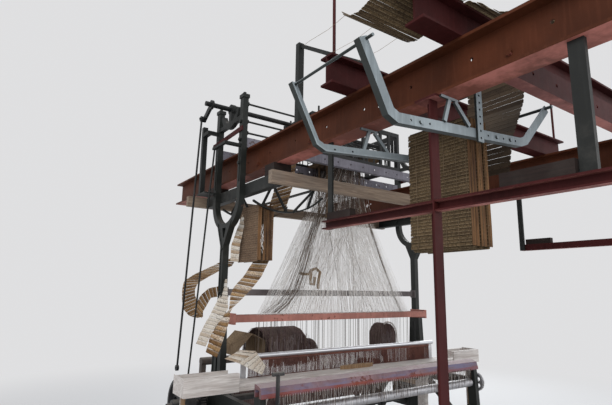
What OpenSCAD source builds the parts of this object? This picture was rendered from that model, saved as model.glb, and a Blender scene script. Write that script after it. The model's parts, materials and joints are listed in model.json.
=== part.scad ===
// Power loom with a card-driven pattern head: cast side frames carry a steel gantry, the head and the weaving parts.
// Millimetres. X runs along the weft, Y from the weaver towards the warp beam, Z up, the floor is z = 0.
// Positions below are given from the middle of the loom's uprights; place() moves the model's foot centre to 0, 0, 0.

/* [Loom frame] */
// distance between the centres of the two side frames
frame_span = 2200; // [2160:10:2240]
// thickness of a side frame casting along the weft
side_t = 44; // [38:1:48]
// height of the top rail of a side frame
side_h = 830; // [826:1:836]
// thickness of a forked upright along the weft
post_t = 46; // [40:1:48]
// height of a forked upright above the floor
post_top = 3100; // [3060:10:3160]
// distance between the centres of the two prongs of an upright
prong_pitch = 450; // [446:1:454]
// width of a prong seen from the side
prong_w = 55; // [48:1:58]

/* [Gantry] */
// underside of the two long girders above the floor
girder_z = 2470; // [2464:1:2480]
// height of a long girder
girder_h = 220; // [200:5:230]
// flange width of a long girder
girder_b = 130; // [110:5:136]
// overall length of a long girder
girder_len = 4250; // [4200:10:4300]
// height of the beams that lie across the long girders
cross_h = 170; // [140:5:190]
// leg width of the floor columns
column_w = 52; // [44:1:60]
// height of the lower rail above the floor
low_rail_z = 1940; // [1900:5:1980]

/* [Weaving parts] */
// top of the breast beam above the floor
breast_top = 985; // [980:1:995]
// bar diameter of the reed cap
reed_cap_d = 34; // [28:1:38]
// number of gaps in the reed
reed_gaps = 72; // [40:4:80]
// height of the shuttle race above the floor
race_z = 955; // [952:1:958]
// throw of the crankshaft that drives the sley
crank_throw = 60; // [50:1:64]
// tooth size (module) of the crank and tappet gears
gear_module = 6; // [5.9:0.1:6]
// outer diameter of a warp beam flange
flange_d = 500; // [440:10:520]

/* [Harness] */
// underside of the comber board bar above the floor
comber_z = 1340; // [1330:1:1350]
// number of harness cords in each of the two rows
cord_count = 30; // [16:2:36]
// diameter of a harness cord as built here
cord_d = 3; // [2:0.5:4]
// length of a lingo, the weight at the end of a heddle
lingo_len = 210; // [160:10:240]

/* [Pattern head] */
// height of the head's end castings above the machine rails
head_h = 390; // [380:5:400]
// length of the pattern cylinder
cylinder_len = 380; // [340:10:390]
// width across the flats of the pattern cylinder
cylinder_w = 96; // [84:2:100]
// length of one pattern card
card_len = 390; // [340:10:400]
// pitch of the cards along their chain
card_pitch = 62; // [50:1:70]

/* [Hidden] */
$fn = 48;
half = frame_span / 2;
centre_y = 1400 - girder_len / 2;
girder_x = half - 105;
girder_top = girder_z + girder_h;
fork_y = -15;
near_y = fork_y - prong_pitch / 2;
far_y = fork_y + prong_pitch / 2;
fork_z = 2300;
plank_top = fork_z + 95;
rail_top = girder_top + 80;
inner_x = half - post_t / 2;
shaft_z = rail_top + head_h - 85;
lever_z = shaft_z - 85;
beam_top = girder_top + cross_h;
stay_x = -half - 150;
lift_x = -half - 210;
flange_x = half - 140;
cradle_z = fork_z + 440;
cradle_x = 300 - half;
swing_x = -425;
cylinder_z = rail_top + 120;
head_x0 = -380;
head_x1 = 640;
crank_y = 170;
crank_z = 720;
tappet_z = crank_z - 36 * gear_module;
rock_y = -250;
rock_z = 140;
pin_y = crank_y + crank_throw - 455;
sword_x = 875;
arm_x = 925;
reed_y = -256;
harness_y = -112;
griffe_z = shaft_z - 104;
hook_columns = ceil(cord_count / 3);
batten_y = cylinder_len / 2 + 5;
stick_x = half + 392;

// Moves the middle of the gantry's plan to the origin.
module place() {
    translate([0, -centre_y, 0]) children();
}

// A box from its low corner to its high corner.
module block(low, high) {
    translate(low) cube(high - low);
}

// Draws a profile of Y and Z and gives it thickness from x0 to x1.
module yz(x0, x1) {
    translate([x0, 0, 0]) rotate([90, 0, 90]) linear_extrude(x1 - x0) children();
}

// Draws a profile of X and Z and gives it thickness from y0 to y1.
module xz(y0, y1) {
    translate([0, y1, 0]) rotate([90, 0, 0]) linear_extrude(y1 - y0) children();
}

// Draws a profile of X and Y and gives it height from z0 to z1.
module xy(z0, z1) {
    translate([0, 0, z0]) linear_extrude(z1 - z0) children();
}

// A round bar along X.
module bar_x(x0, x1, y, z, r) {
    translate([x0, y, z]) rotate([0, 90, 0]) cylinder(h = x1 - x0, r = r);
}

// A round bar along Y.
module bar_y(x, y0, y1, z, r) {
    translate([x, y1, z]) rotate([90, 0, 0]) cylinder(h = y1 - y0, r = r);
}

// A round bar along Z.
module bar_z(x, y, z0, z1, r) {
    translate([x, y, z0]) cylinder(h = z1 - z0, r = r);
}

// A round bar between two points.
module rod(a, b, r) {
    d = b - a;
    translate(a) rotate([0, acos(d.z / norm(d)), atan2(d.y, d.x)]) cylinder(h = norm(d), r = r);
}

// A flat strip of a profile between two points, w wide.
module strip(a, b, w) {
    d = b - a;
    translate(a) rotate(atan2(d.y, d.x)) translate([0, -w / 2]) square([norm(d), w]);
}

// Unit normal of the line from a to b.
function side_way(a, b) = [a.y - b.y, b.x - a.x] / norm(b - a);

// Offset of a bent strip's edge at point i, for a mitred joint.
function mitre(points, i) =
    let (
        last = len(points) - 1,
        n0 = i == 0 ? side_way(points[0], points[1]) : side_way(points[i - 1], points[i]),
        n1 = i == last ? n0 : side_way(points[i], points[i + 1])
    ) (n0 + n1) / (1 + n0 * n1);

// The same list of points moved sideways by d.
function shifted(points, d) = [for (i = [0:len(points) - 1]) points[i] + mitre(points, i) * d];

// A bent flat strip through a list of points, w wide.
module ribbon(points, w) {
    last = len(points) - 1;
    polygon([
        for (i = [0:last]) points[i] + mitre(points, i) * w / 2,
        for (i = [last:-1:0]) points[i] - mitre(points, i) * w / 2
    ]);
}

// Places its children on both sides of the loom, mirrored.
module both_sides() {
    children();
    mirror([1, 0, 0]) children();
}

// The profile of a rolled I beam, standing on z = 0 and centred on x = 0.
module i_profile(h, b, web, flange) {
    translate([-b / 2, 0]) square([b, flange]);
    translate([-b / 2, h - flange]) square([b, flange]);
    translate([-web / 2, 0]) square([web, h]);
}

// The profile of a rolled channel, open towards +x, standing on z = 0.
module channel_profile(h, b, wall) {
    square([wall, h]);
    square([b, wall]);
    translate([0, h - wall]) square([b, wall]);
}

// The profile of a rolled angle with its corner at 0, 0.
module angle_profile(w, wall) {
    square([w, wall]);
    square([wall, w]);
}

// A spur gear's outline; a tooth points along +x when turned is 0.
module gear_profile(teeth, module_mm, turned = 0) {
    pitch = teeth * module_mm / 2;
    step = 360 / teeth;
    root = pitch - 1.2 * module_mm;
    tip = pitch + 0.95 * module_mm;
    rotate(turned) polygon([
        for (i = [0:teeth - 1])
            for (corner = [[-0.36, root], [-0.225, pitch], [-0.11, tip], [0.11, tip], [0.225, pitch], [0.36, root]])
                corner[1] * [cos((i + corner[0]) * step), sin((i + corner[0]) * step)]
    ]);
}

// Outline of a side frame casting seen from the side.
module side_profile() {
    difference() {
        union() {
            translate([-790, 0]) square([210, 34]);
            translate([680, 0]) square([210, 34]);
            translate([-110, 0]) square([220, 34]);
            polygon([[-740, 0], [-640, 0], [-612, breast_top - 78], [-690, breast_top - 78]]);
            polygon([[740, 0], [840, 0], [760, side_h], [680, side_h]]);
            translate([-690, side_h - 84]) square([1450, 84]);
            translate([-710, 230]) square([1500, 66]);
            polygon([[-60, 0], [60, 0], [120, side_h], [-120, side_h]]);
            strip([-650, 300], [-110, side_h - 60], 46);
            strip([700, 300], [330, side_h - 60], 46);
            polygon([[100, 430], [330, 430], [330, side_h], [100, side_h]]);
            translate([rock_y, rock_z]) circle(r = 52);
            strip([rock_y, rock_z], [rock_y, 240], 90);
            translate([620, 600]) circle(r = 62);
            strip([620, 600], [720, 600], 110);
            translate([-640, 560]) circle(r = 46);
        }
        translate([rock_y, rock_z]) circle(r = 24.05);
        translate([crank_y, crank_z]) circle(r = 25.05);
        translate([crank_y, tappet_z]) circle(r = 22.05);
        translate([620, 600]) circle(r = 25.05);
        translate([-640, 560]) circle(r = 18.05);
        translate([-650, side_h - 40]) circle(r = 18.05);
    }
}

// One side frame casting, centred on x, with its bearing bosses and foot plates.
module side_frame(x) {
    color([0.09, 0.10, 0.09]) difference() {
        union() {
            yz(x - side_t / 2, x + side_t / 2) side_profile();
            for (foot = [[-790, -580], [680, 890]])
                block([x - 65, foot[0], 0], [x + 65, foot[1], 26]);
            difference() {
                union() {
                    bar_x(x - 34, x + 34, crank_y, crank_z, 52);
                    bar_x(x - 34, x + 34, crank_y, tappet_z, 46);
                    bar_x(x - 30, x + 30, 620, 600, 56);
                }
                bar_x(x - 60, x + 60, crank_y, crank_z, 25.05);
                bar_x(x - 60, x + 60, crank_y, tappet_z, 22.05);
                bar_x(x - 60, x + 60, 620, 600, 25.05);
            }
        }
        for (y = [-685, 785], dx = [-44, 44])
            bar_z(x + dx, y, -1, 40, 8);
    }
}

// The left frame also carries the studs of the starting handle and the brake lever.
module side_frame_left() {
    side_frame(-half);
    color([0.09, 0.10, 0.09]) {
        bar_x(-half + side_t / 2 - 1, -half + 80, -690, 640, 10);
        bar_x(-half - 245, -half - side_t / 2 + 1, -60, 420, 14);
    }
}

module side_frame_right() {
    side_frame(half);
}

// Outline of a forked upright seen from the side.
module post_profile() {
    difference() {
        union() {
            polygon([
                [-120, side_h], [120, side_h], [120, side_h + 22], [84, side_h + 40], [60, 1330], [30, 1400],
                [30, 1930], [118, 2120], [-148, 2120], [-30, 1930], [-30, 1400], [-60, 1330],
                [-84, side_h + 40], [-120, side_h + 22]
            ]);
            intersection() {
                translate([fork_y, fork_z]) circle(r = prong_pitch / 2 + prong_w / 2);
                translate([-500, 2000]) square([1000, fork_z - 2000]);
            }
        }
        translate([fork_y, fork_z]) circle(r = prong_pitch / 2 - prong_w / 2);
        polygon([[fork_y - 34, 2068], [fork_y + 34, 2068], [fork_y + 10, 1990], [fork_y - 6, 1990]]);
        translate([-14, 960]) square([28, 330]);
    }
    translate([near_y - prong_w / 2, fork_z]) square([prong_w, post_top - fork_z]);
    translate([far_y - prong_w / 2, fork_z]) square([prong_w, post_top - fork_z]);
}

// One forked upright with its prong caps and clamp nuts, built for the left side.
module fork_post() {
    color([0.10, 0.11, 0.10]) {
        yz(-half - post_t / 2, -half + post_t / 2) post_profile();
        for (y = [near_y, far_y]) {
            block([-half - 30, y - 34, post_top], [-half + 30, y + 34, post_top + 30]);
            bar_z(-half, y, post_top + 30, post_top + 52, 13);
        }
        for (z = [girder_z + 90, girder_top + 60, post_top - 200])
            bar_x(-half - post_t / 2 - 14, -half - post_t / 2, near_y, z, 14);
        for (z = [1440, 1560, 1900])
            bar_x(-half - post_t / 2 - 12, -half - post_t / 2, 0, z, 11);
        yz(-half - post_t / 2 - 5, -half - post_t / 2) {
            for (y = [-25, 25]) strip([y, 1400], [y, 1930], 9);
            strip([-27, 1932], [-140, 2112], 12);
            strip([27, 1932], [110, 2112], 12);
            strip([-80, side_h + 46], [-57, 1326], 12);
            strip([80, side_h + 46], [57, 1326], 12);
            for (y = [near_y, far_y]) strip([y, fork_z + 110], [y, girder_top - 20], 14);
        }
    }
}

module post_left() {
    fork_post();
}

module post_right() {
    mirror([1, 0, 0]) fork_post();
}

// Girts that tie the side frames together low down.
module cross_rails() {
    reach = half - side_t / 2;
    color([0.12, 0.12, 0.11]) {
        block([-reach, -668, 236], [reach, -640, 290]);
        block([-reach, 730, 236], [reach, 764, 290]);
        bar_x(-reach, reach, -40, 262, 22);
    }
}

// Painted breast beam with a lighter front lip, resting on the two front legs.
module breast_beam() {
    reach = half + side_t / 2;
    color([0.45, 0.34, 0.38]) yz(-reach, reach) difference() {
        polygon([
            [-612, breast_top - 78], [-612, breast_top], [-640, breast_top], [-690, breast_top - 14],
            [-706, breast_top - 60], [-706, breast_top - 78]
        ]);
        translate([-676, breast_top - 90]) square([52, 60]);
    }
}

// Rear whip beam, over which the warp once ran.
module back_rest() {
    reach = half - side_t / 2;
    color([0.20, 0.18, 0.16]) {
        bar_x(-reach, reach, 420, 985, 32);
        for (x = [-reach, reach - 40])
            block([x, 395, side_h + 0], [x + 40, 445, 960]);
    }
    color([0.20, 0.18, 0.16]) for (x = [-half - side_t / 2, half - side_t / 2])
        block([x, 390, side_h], [x + side_t, 450, side_h + 24]);
}

// Flat stretcher between the two uprights.
module upper_stretcher() {
    color([0.33, 0.33, 0.34]) {
        block([-inner_x, -8, 1537], [inner_x, 8, 1588]);
        for (x = [-inner_x, inner_x - 14]) block([x, -30, 1525], [x + 14, 30, 1600]);
    }
}

// Comber board: two painted bars with the perforated board between them, on brackets from the uprights.
module comber_board() {
    back = harness_y + 42;
    front = harness_y - 42;
    reach = inner_x - 20;
    color([0.55, 0.30, 0.26]) difference() {
        union() {
            block([-reach, front - 14, comber_z], [reach, front, comber_z + 52]);
            block([-reach, back, comber_z], [reach, back + 14, comber_z + 52]);
            block([-reach + 60, front, comber_z + 8], [reach - 60, back, comber_z + 18]);
        }
        for (i = [0:cord_count - 1], row = [0, 1]) {
            p = comber_hole(i, row);
            bar_z(p.x, p.y, comber_z, comber_z + 60, cord_d / 2 + 1.5);
        }
    }
    color([0.16, 0.15, 0.14]) for (x = [-inner_x, inner_x - 20])
        block([x, front - 14, comber_z - 16], [x + 20, 30, comber_z + 66]);
}

// Where cord i of a row passes the comber board.
function comber_hole(i, row) = [
    -850 + 1720 * (i + 0.5 * row) / (cord_count - 0.5),
    harness_y + (row == 0 ? -22 : 22),
    comber_z + 13
];

// Where the same cord is tied to the neck board.
function neck_knot(i, row) = [
    -130 + 380 * (i + 0.5 * row) / (cord_count - 0.5),
    row == 0 ? -60 : 20,
    2256
];

// Channel beams bolted inside the prongs; they carry the planks and girders.
module fork_beams() {
    color([0.11, 0.12, 0.11]) both_sides() {
        translate([-inner_x, 0, fork_z]) xz(-720, 490) channel_profile(90, 58, 11);
        for (y = [near_y, far_y]) bar_x(-inner_x + 10, -inner_x + 22, y, fork_z + 45, 13);
    }
}

// Two weathered planks across the ends of the fork beams.
module cross_planks() {
    color([0.42, 0.40, 0.36]) {
        block([-half - 30, -770, fork_z + 5], [half + 60, -720, plank_top]);
        block([-half - 150, 490, fork_z + 5], [half + 60, 540, plank_top]);
    }
}

// Hardwood blocks between fork beams and girders.
module spacer_blocks() {
    color([0.10, 0.09, 0.08]) both_sides()
        for (y = [-700, 350])
            block([girder_x - 62, y, fork_z + 90], [inner_x, y + 130, girder_z]);
}

// One long girder with the bolt holes of its web.
module girder(x) {
    color([0.42, 0.17, 0.12]) difference() {
        translate([x, 0, girder_z]) xz(1400 - girder_len, 1400) i_profile(girder_h, girder_b, 9, 14);
        for (y = [-2600:350:1200])
            bar_x(x - 10, x + 10, y, girder_z + girder_h / 2 + 18, 9);
        for (y = [-1675, 610]) bar_x(x - 10, x + 10, y, girder_z + girder_h / 2 + 4, 19);
    }
    color([0.42, 0.17, 0.12]) for (y = [-2425, -1725, -1025, -325])
        bar_x(x - 16, x - 4.5, y, girder_z + girder_h / 2 - 30, 13);
}

module girder_left() {
    girder(-girder_x);
}

module girder_right() {
    mirror([1, 0, 0]) girder(-girder_x);
}

// Grey channel rails across the girders that carry the pattern head.
module machine_rails() {
    color([0.47, 0.46, 0.52]) difference() {
        for (y = [near_y, far_y])
            translate([0, y - 22, girder_top]) rotate([90, 0, 90]) translate([0, 0, -inner_x])
                linear_extrude(2 * inner_x) channel_profile(80, 44, 7);
        for (x = [-900:150:900], y = [near_y, far_y])
            bar_y(x, y - 30, y - 10, girder_top + 40, 8);
    }
}

// Thin round rods from the near left prong to the head.
module tie_rods() {
    color([0.13, 0.13, 0.12]) for (z = [rail_top + head_h - 100, rail_top + 140, rail_top + 45]) {
        bar_x(-inner_x, head_x0, near_y, z, 8);
        bar_x(-inner_x, -inner_x + 16, near_y, z, 17);
    }
}

// Flat link bars outside the prongs.
module link_bars() {
    color([0.45, 0.17, 0.15]) both_sides()
        yz(half + post_t / 2, half + post_t / 2 + 10) difference() {
            strip([near_y - 40, girder_top + 146], [far_y + 70, girder_top + 122], 38);
            translate([fork_y, girder_top + 134]) circle(r = 9);
        }
}

// Crossbars between the prongs with the bearing of the lift shaft.
module bearing_brackets() {
    color([0.08, 0.08, 0.08]) both_sides() yz(half - 18, half + 18) difference() {
        union() {
            translate([near_y + prong_w / 2, shaft_z - 145]) square([prong_pitch - prong_w, 34]);
            difference() {
                translate([fork_y, shaft_z]) circle(r = prong_pitch / 2 - prong_w / 2 - 30);
                translate([fork_y, shaft_z + 20]) circle(r = prong_pitch / 2 - prong_w / 2 - 62);
                translate([-400, shaft_z - 30]) square([800, 400]);
            }
            translate([fork_y, shaft_z]) circle(r = 44);
            translate([fork_y - 24, shaft_z - 125]) square([48, 125]);
        }
        translate([fork_y, shaft_z]) circle(r = 20.05);
    }
}

// Beams that lie across the girders, and the channel that butts them low down.
module cross_beams() {
    left = girder_x + 250;
    color([0.36, 0.15, 0.13]) {
        translate([0, -1520, girder_top]) yz(-left, left) i_profile(cross_h, 100, 8, 12);
        translate([0, -2200, girder_top]) yz(-left - 60, left + 60) i_profile(cross_h, 100, 8, 12);
        difference() {
            translate([0, -2410, girder_z - 0]) yz(-girder_x + girder_b / 2, girder_x - girder_b / 2)
                difference() {
                    square([60, 110]);
                    translate([7, 8]) square([60, 94]);
                }
            for (x = [-800:200:800]) bar_y(x, -2420, -2400, girder_z + 55, 9);
        }
    }
    color([0.12, 0.12, 0.12]) for (x = [-half - 90, half + 90]) {
        bar_z(x, -1520, beam_top, post_top + 200, 9);
        bar_z(x, -1520, beam_top, beam_top + 12, 18);
    }
}

// Angle columns from the floor to the girders.
module columns() {
    color([0.40, 0.13, 0.12]) both_sides() {
        translate([girder_x + 20, -2070, 0]) xy(12, girder_z - 10) angle_profile(column_w, 7);
        block([girder_x - 10, -2110, 0], [girder_x + 110, -1990, 12]);
        block([girder_x - 10, -2110, girder_z - 10], [girder_x + 84, -1990, girder_z]);
    }
}

// Rails along Y, bolted to the columns below the girders.
module lower_rails() {
    color([0.38, 0.13, 0.13]) both_sides() difference() {
        block([girder_x + 27, -2780, low_rail_z], [girder_x + 69, -2071, low_rail_z + 50]);
        block([girder_x + 40, -2790, low_rail_z + 8], [girder_x + 80, -2060, low_rail_z + 42]);
    }
    color([0.38, 0.13, 0.13]) both_sides() difference() {
        block([girder_x + 27, -2063, low_rail_z], [girder_x + 69, -1250, low_rail_z + 50]);
        block([girder_x + 40, -2070, low_rail_z + 8], [girder_x + 80, -1240, low_rail_z + 42]);
    }
}

// Hangers between the girders and the lower rails.
module rail_hangers() {
    color([0.07, 0.07, 0.07]) both_sides() {
        block([girder_x + 14, -1290, low_rail_z], [girder_x + 27, -1250, girder_z]);
        block([girder_x + 24, -2716, low_rail_z + 50], [girder_x + 46, -2660, girder_z]);
    }
}

// Dark planks that lie on the lower rails.
module rail_planks() {
    color([0.20, 0.10, 0.10]) both_sides()
        block([girder_x + 22, -2656, low_rail_z + 50], [girder_x + 66, -2380, low_rail_z + 104]);
    color([0.36, 0.27, 0.20]) both_sides()
        block([girder_x + 28, -1500, low_rail_z + 50], [girder_x + 68, -1296, low_rail_z + 92]);
}

// Seat profile of a card cradle hoop: a wide U with splayed arms.
hoop_points = [
    [-1492, girder_z + 135], [-1345, girder_z - 140], [-1310, girder_z - 155],
    [-400, girder_z - 75], [-355, girder_z - 58], [-110, girder_z + 180]
];

// Two U hoops of bent angle bar that hold the card chain, tied by rods.
module cradle_hoops() {
    color([0.42, 0.47, 0.50]) difference() {
        for (hoop = [[-2110, -2110], [-1620, -1594]]) {
            xz(hoop[1], hoop[1] + 8) ribbon(shifted(hoop_points, -17), 46);
            xz(hoop[0], hoop[0] + 34) ribbon(shifted(hoop_points, -36), 8);
        }
        for (x = [-1240, -1120, -690, -560, -450]) bar_y(x, -2120, -1570, hoop_seat(x) - 24, 6);
    }
    color([0.20, 0.22, 0.22]) {
        bar_y(-1489, -2150, -1550, girder_z + 122, 7);
        bar_y(-117, -2150, -1550, girder_z + 165, 9);
        for (x = [-1180, -620, -500]) bar_y(x, -2118, -2109, hoop_seat(x) - 24, 10);
    }
}

// Flat straps that hang the hoops from the girder.
module cradle_hangers() {
    color([0.48, 0.50, 0.50]) {
        difference() {
            block([-790, -2122, girder_z - 170], [-745, -2110, girder_top + 50]);
            for (z = [girder_z - 150:36:girder_top + 30]) bar_y(-767, -2130, -2100, z, 6);
        }
        for (y = [-2122, -1586])
            xz(y, y + 12) {
                strip([-990, girder_z - 12], [-1030, girder_z - 124], 20);
                strip([-950, girder_z - 12], [-850, girder_z - 108], 20);
                translate([-1050, girder_z - 12]) square([120, 12]);
            }
    }
    color([0.12, 0.12, 0.12]) bar_y(-160, -2240, -1480, beam_top + 8, 8);
}

// A hanging stack of folded cards: n panels side by side, each a thin folded loop.
module card_panels(n, pitch, t, top, bottom) {
    for (i = [0:n - 1]) {
        drop = bottom + 14 * ((i * 7) % 5) / 4;
        translate([i * pitch, drop]) square([t, top - drop]);
        if (i < n - 1) translate([i * pitch, i % 2 == 0 ? top - 10 : max(drop, bottom + 14)]) square([pitch + t, 8]);
    }
}

// Top of a hoop's seat at x.
function hoop_seat(x) = girder_z - 155 + (x + 1310) * 80 / 910 + 6.1;

// The stack between the cradle hoops, hung on wires that lie on them.
module card_stack_near() {
    color([0.55, 0.44, 0.30]) {
        xz(-2036, -2036 + card_len) translate([-752, 0]) card_panels(14, 11.6, 6.5, girder_z - 4, girder_z - 670);
        for (x = [-749:34.8:-600])
            bar_y(x, -2109.7, -1586, hoop_seat(x) + 4, 4);
    }
}

// Height at which a wire of radius 4 lies in the lower cradle's arc at x.
function arc_seat(x) = cradle_z - sqrt(543.7 * 543.7 - (x - cradle_x) * (x - cradle_x));

// The stack that hangs from the lower cradle beside the left upright.
module card_stack_left() {
    color([0.60, 0.42, 0.24]) {
        xz(-350, -350 + 330) translate([cradle_x - 190, 0]) {
            card_panels(5, 12, 7, 2236, 1800);
            translate([74, 0]) card_panels(5, 12, 7, 2232, 1786);
        }
        for (x = [cradle_x - 156, cradle_x - 100.5]) bar_y(x, -382, 186, arc_seat(x), 4);
    }
}

// Length of a line through a list of points.
function run_length(points, i = 0) =
    i > len(points) - 2 ? 0 : norm(points[i + 1] - points[i]) + run_length(points, i + 1);

// The point and the direction a distance s along a list of points.
function along(points, s, i = 0) =
    let (d = points[i + 1] - points[i])
    s > norm(d) && i < len(points) - 2 ? along(points, s - norm(d), i + 1) : [points[i] + d * s / norm(d), atan2(d.y, d.x)];

// Section of a run of cards with a groove at each lacing.
module card_section(points) {
    difference() {
        ribbon(points, 4);
        for (s = [card_pitch / 2:card_pitch:run_length(points) - 6]) {
            at = along(points, s);
            translate(at[0]) rotate(at[1]) translate([-0.8, 0.8]) square([1.6, 4]);
        }
    }
}

// One run of single cards along a list of points of X and Z.
module card_run(points, y, w) {
    xz(y, y + w) card_section(points);
}

// Where the run leaves the top of the pattern cylinder, clear of its corners as they turn.
cylinder_reach = cylinder_w / 2 * sqrt(2) + 2.4;

// Loose runs of the card chain: over the cylinder, down to the cradles, in loops at the left and over the beams.
module card_chain() {
    low = arc_seat(cradle_x + 60);
    color([0.66, 0.55, 0.40]) {
        card_run([
            [swing_x - 15, cylinder_z + cylinder_reach],
            [swing_x - 50 - 0.415 * cylinder_reach, cylinder_z + cylinder_reach],
            [swing_x - 50 - cylinder_reach, cylinder_z + 0.415 * cylinder_reach],
            [swing_x - 50 - cylinder_reach, cylinder_z - 10],
            [-548, 2700], [-585, 2450], [cradle_x + 155, 2260], [cradle_x + 110, 2206]
        ], -190, 340);
        card_run([
            [cradle_x + 71, low + 6.5], [cradle_x + 52, low + 6.5], [cradle_x + 35, 2100], [cradle_x - 9, 1960],
            [cradle_x - 61, 1822], [cradle_x - 192, 1764], [cradle_x - 274, 1736], [cradle_x - 352, 1691],
            [cradle_x - 420, 1648], [cradle_x - 468, 1597], [cradle_x - 489, 1524], [cradle_x - 476, 1451],
            [cradle_x - 419, 1378], [cradle_x - 349, 1361], [cradle_x - 313, 1491], [cradle_x - 237, 1584],
            [cradle_x - 174, 1610]
        ], 300, 120);
        bar_y(cradle_x + 60, -382, 432, low, 4);
        card_run([
            [cradle_x - 112, 1784.7], [cradle_x - 140, 1735], [cradle_x - 217, 1583], [cradle_x - 292, 1423],
            [cradle_x - 357, 1297], [cradle_x - 404, 1161], [cradle_x - 428, 1080]
        ], -330, 150);
        card_run([
            [-half - 37.5, 1600], [-half - 37.5, 1530], [-half - 46, 1490],
            [-half - 100, 1369], [-half - 148, 1247], [-half - 190, 1177]
        ], -115, 150);
        card_run([
            [-395, girder_z - 240], [-380, girder_z - 170], [-341, girder_z - 33], [-205, girder_z + 204],
            [-170.5, beam_top - 60], [-170.5, beam_top + 12.6], [-164.5, beam_top + 18.8],
            [-155.5, beam_top + 18.8], [-149.5, beam_top + 12.6], [-149.5, beam_top - 70]
        ], -2036, card_len);
        yz(-1036 - card_len, -1036) card_section([
            [-1540, beam_top + 2.4], [-1578, beam_top + 2.4], [-1640, beam_top - 18], [-1730, beam_top - 52],
            [-1860, beam_top - 68], [-1990, beam_top - 52], [-2080, beam_top - 18], [-2142, beam_top + 2.4],
            [-2290, beam_top + 2.4]
        ]);
        yz(-1030, -790) card_section([
            [-2140, beam_top + 2.4], [-2262, beam_top + 2.4], [-2320, beam_top - 40], [-2400, girder_top + 50],
            [-2470, girder_top + 14], [-2560, girder_top + 2.4], [-2830, girder_top + 2.4]
        ]);
    }
}

// Arc cradle below the planks, on two bars that lie on them.
module lower_cradle() {
    color([0.16, 0.18, 0.18]) {
        for (x = [cradle_x - 110, cradle_x + 280]) block([x, -770, plank_top], [x + 36, 540, plank_top + 10]);
        for (y = [-380, 160]) {
            xz(y, y + 24) intersection() {
                difference() {
                    translate([cradle_x, cradle_z]) circle(r = 560);
                    translate([cradle_x, cradle_z]) circle(r = 548);
                }
                translate([cradle_x - 255, fork_z - 200]) square([640, 300]);
            }
            xz(y, y + 12) {
                strip([cradle_x - 92, plank_top + 2], [cradle_x + 40, fork_z - 114], 18);
                strip([cradle_x + 298, plank_top + 2], [cradle_x + 100, fork_z - 108], 18);
                strip([cradle_x - 92, plank_top + 2], [cradle_x - 180, fork_z - 84], 18);
                strip([cradle_x + 298, plank_top + 2], [cradle_x + 240, fork_z - 62], 18);
            }
        }
    }
}

// Tall post on the left girder with its stay.
module tower_brace() {
    color([0.16, 0.18, 0.17]) {
        block([-1022, -905, girder_top], [-978, -865, post_top + 210]);
        block([-1040, -925, girder_top], [-960, -845, girder_top + 12]);
        yz(-1008, -992) strip([-900, post_top + 190], [-1540, beam_top + 22], 26);
        block([-1030, -1566, beam_top], [-970, -1500, beam_top + 14]);
    }
}

// End castings and top rails of the pattern head.
module machine_frame() {
    top = rail_top + head_h;
    color([0.07, 0.07, 0.07]) {
        for (x = [head_x0, head_x1 - 30]) yz(x, x + 30) difference() {
            union() {
                translate([near_y - 20, rail_top]) square([prong_pitch + 40, 40]);
                translate([near_y - 20, rail_top]) square([44, head_h]);
                translate([far_y - 24, rail_top]) square([44, head_h]);
                translate([near_y - 20, top - 46]) square([prong_pitch + 40, 46]);
                translate([fork_y, shaft_z]) circle(r = 46);
                translate([fork_y - 26, shaft_z]) square([52, top - shaft_z]);
            }
            translate([fork_y, shaft_z]) circle(r = 20.05);
        }
        for (y = [near_y - 20, far_y - 4]) {
            block([head_x0 + 30, y, top - 40], [head_x1 - 30, y + 24, top]);
            block([head_x0 + 30, y, rail_top], [head_x1 - 30, y + 24, rail_top + 30]);
        }
        for (x = [-334, -80, 150, 376, 490], y = [near_y - 20, far_y - 4])
            block([x, y, rail_top + 30], [x + 26, y + 24, top - 40]);
        for (y = [near_y - 8, far_y + 8]) {
            bar_z(head_x0 + 15, y, top, top + 60, 9);
            block([head_x0 - 62, y - 9, top - 40], [head_x0, y + 9, top - 8]);
        }
        bar_y(head_x0 - 45, near_y - 8, far_y + 8, top - 24, 9);
    }
}

// Boards: the one that the hooks rest on, the two that guide the needles, and the neck board below.
module hook_boards() {
    color([0.33, 0.25, 0.18]) {
        difference() {
            block([-170, near_y + 4, rail_top], [290, far_y - 4, rail_top + 18]);
            for (p = hook_points()) bar_z(p.x, p.y, rail_top - 1, rail_top + 20, 3);
        }
        for (x = [-330, 380])
            block([x, near_y + 4, rail_top + 60], [x + 18, far_y - 4, rail_top + 180]);
        block([-150, -90, 2250], [270, 50, 2262]);
    }
    color([0.10, 0.10, 0.10]) for (x = [-146, 254], y = [-88, 36])
        block([x, y, 2262], [x + 12, y + 12, rail_top]);
}

// Where the hooks stand, seen from above.
function hook_points() = [
    for (ix = [0:hook_columns - 1], iy = [0:5]) [-130 + 342 * ix / (hook_columns - 1), -190 + 70 * iy]
];

// Wire hooks, bent over at the top to catch the griffe knives.
module hooks() {
    color([0.30, 0.28, 0.26]) for (p = hook_points()) {
        bar_z(p.x, p.y, rail_top - 60, griffe_z + 26, 1.6);
        bar_y(p.x, p.y - 5, p.y, griffe_z + 24, 1.3);
        bar_z(p.x, p.y, rail_top + 18, rail_top + 24, 5);
    }
}

// Needles that push the hooks, lying along X in their boards.
module needles() {
    color([0.35, 0.33, 0.30]) for (iy = [0:5], iz = [0:3])
        bar_x(-312, 380, -190 + 70 * iy + 4.5 + iz, rail_top + 80 + 24 * iz, 1.3);
}

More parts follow.
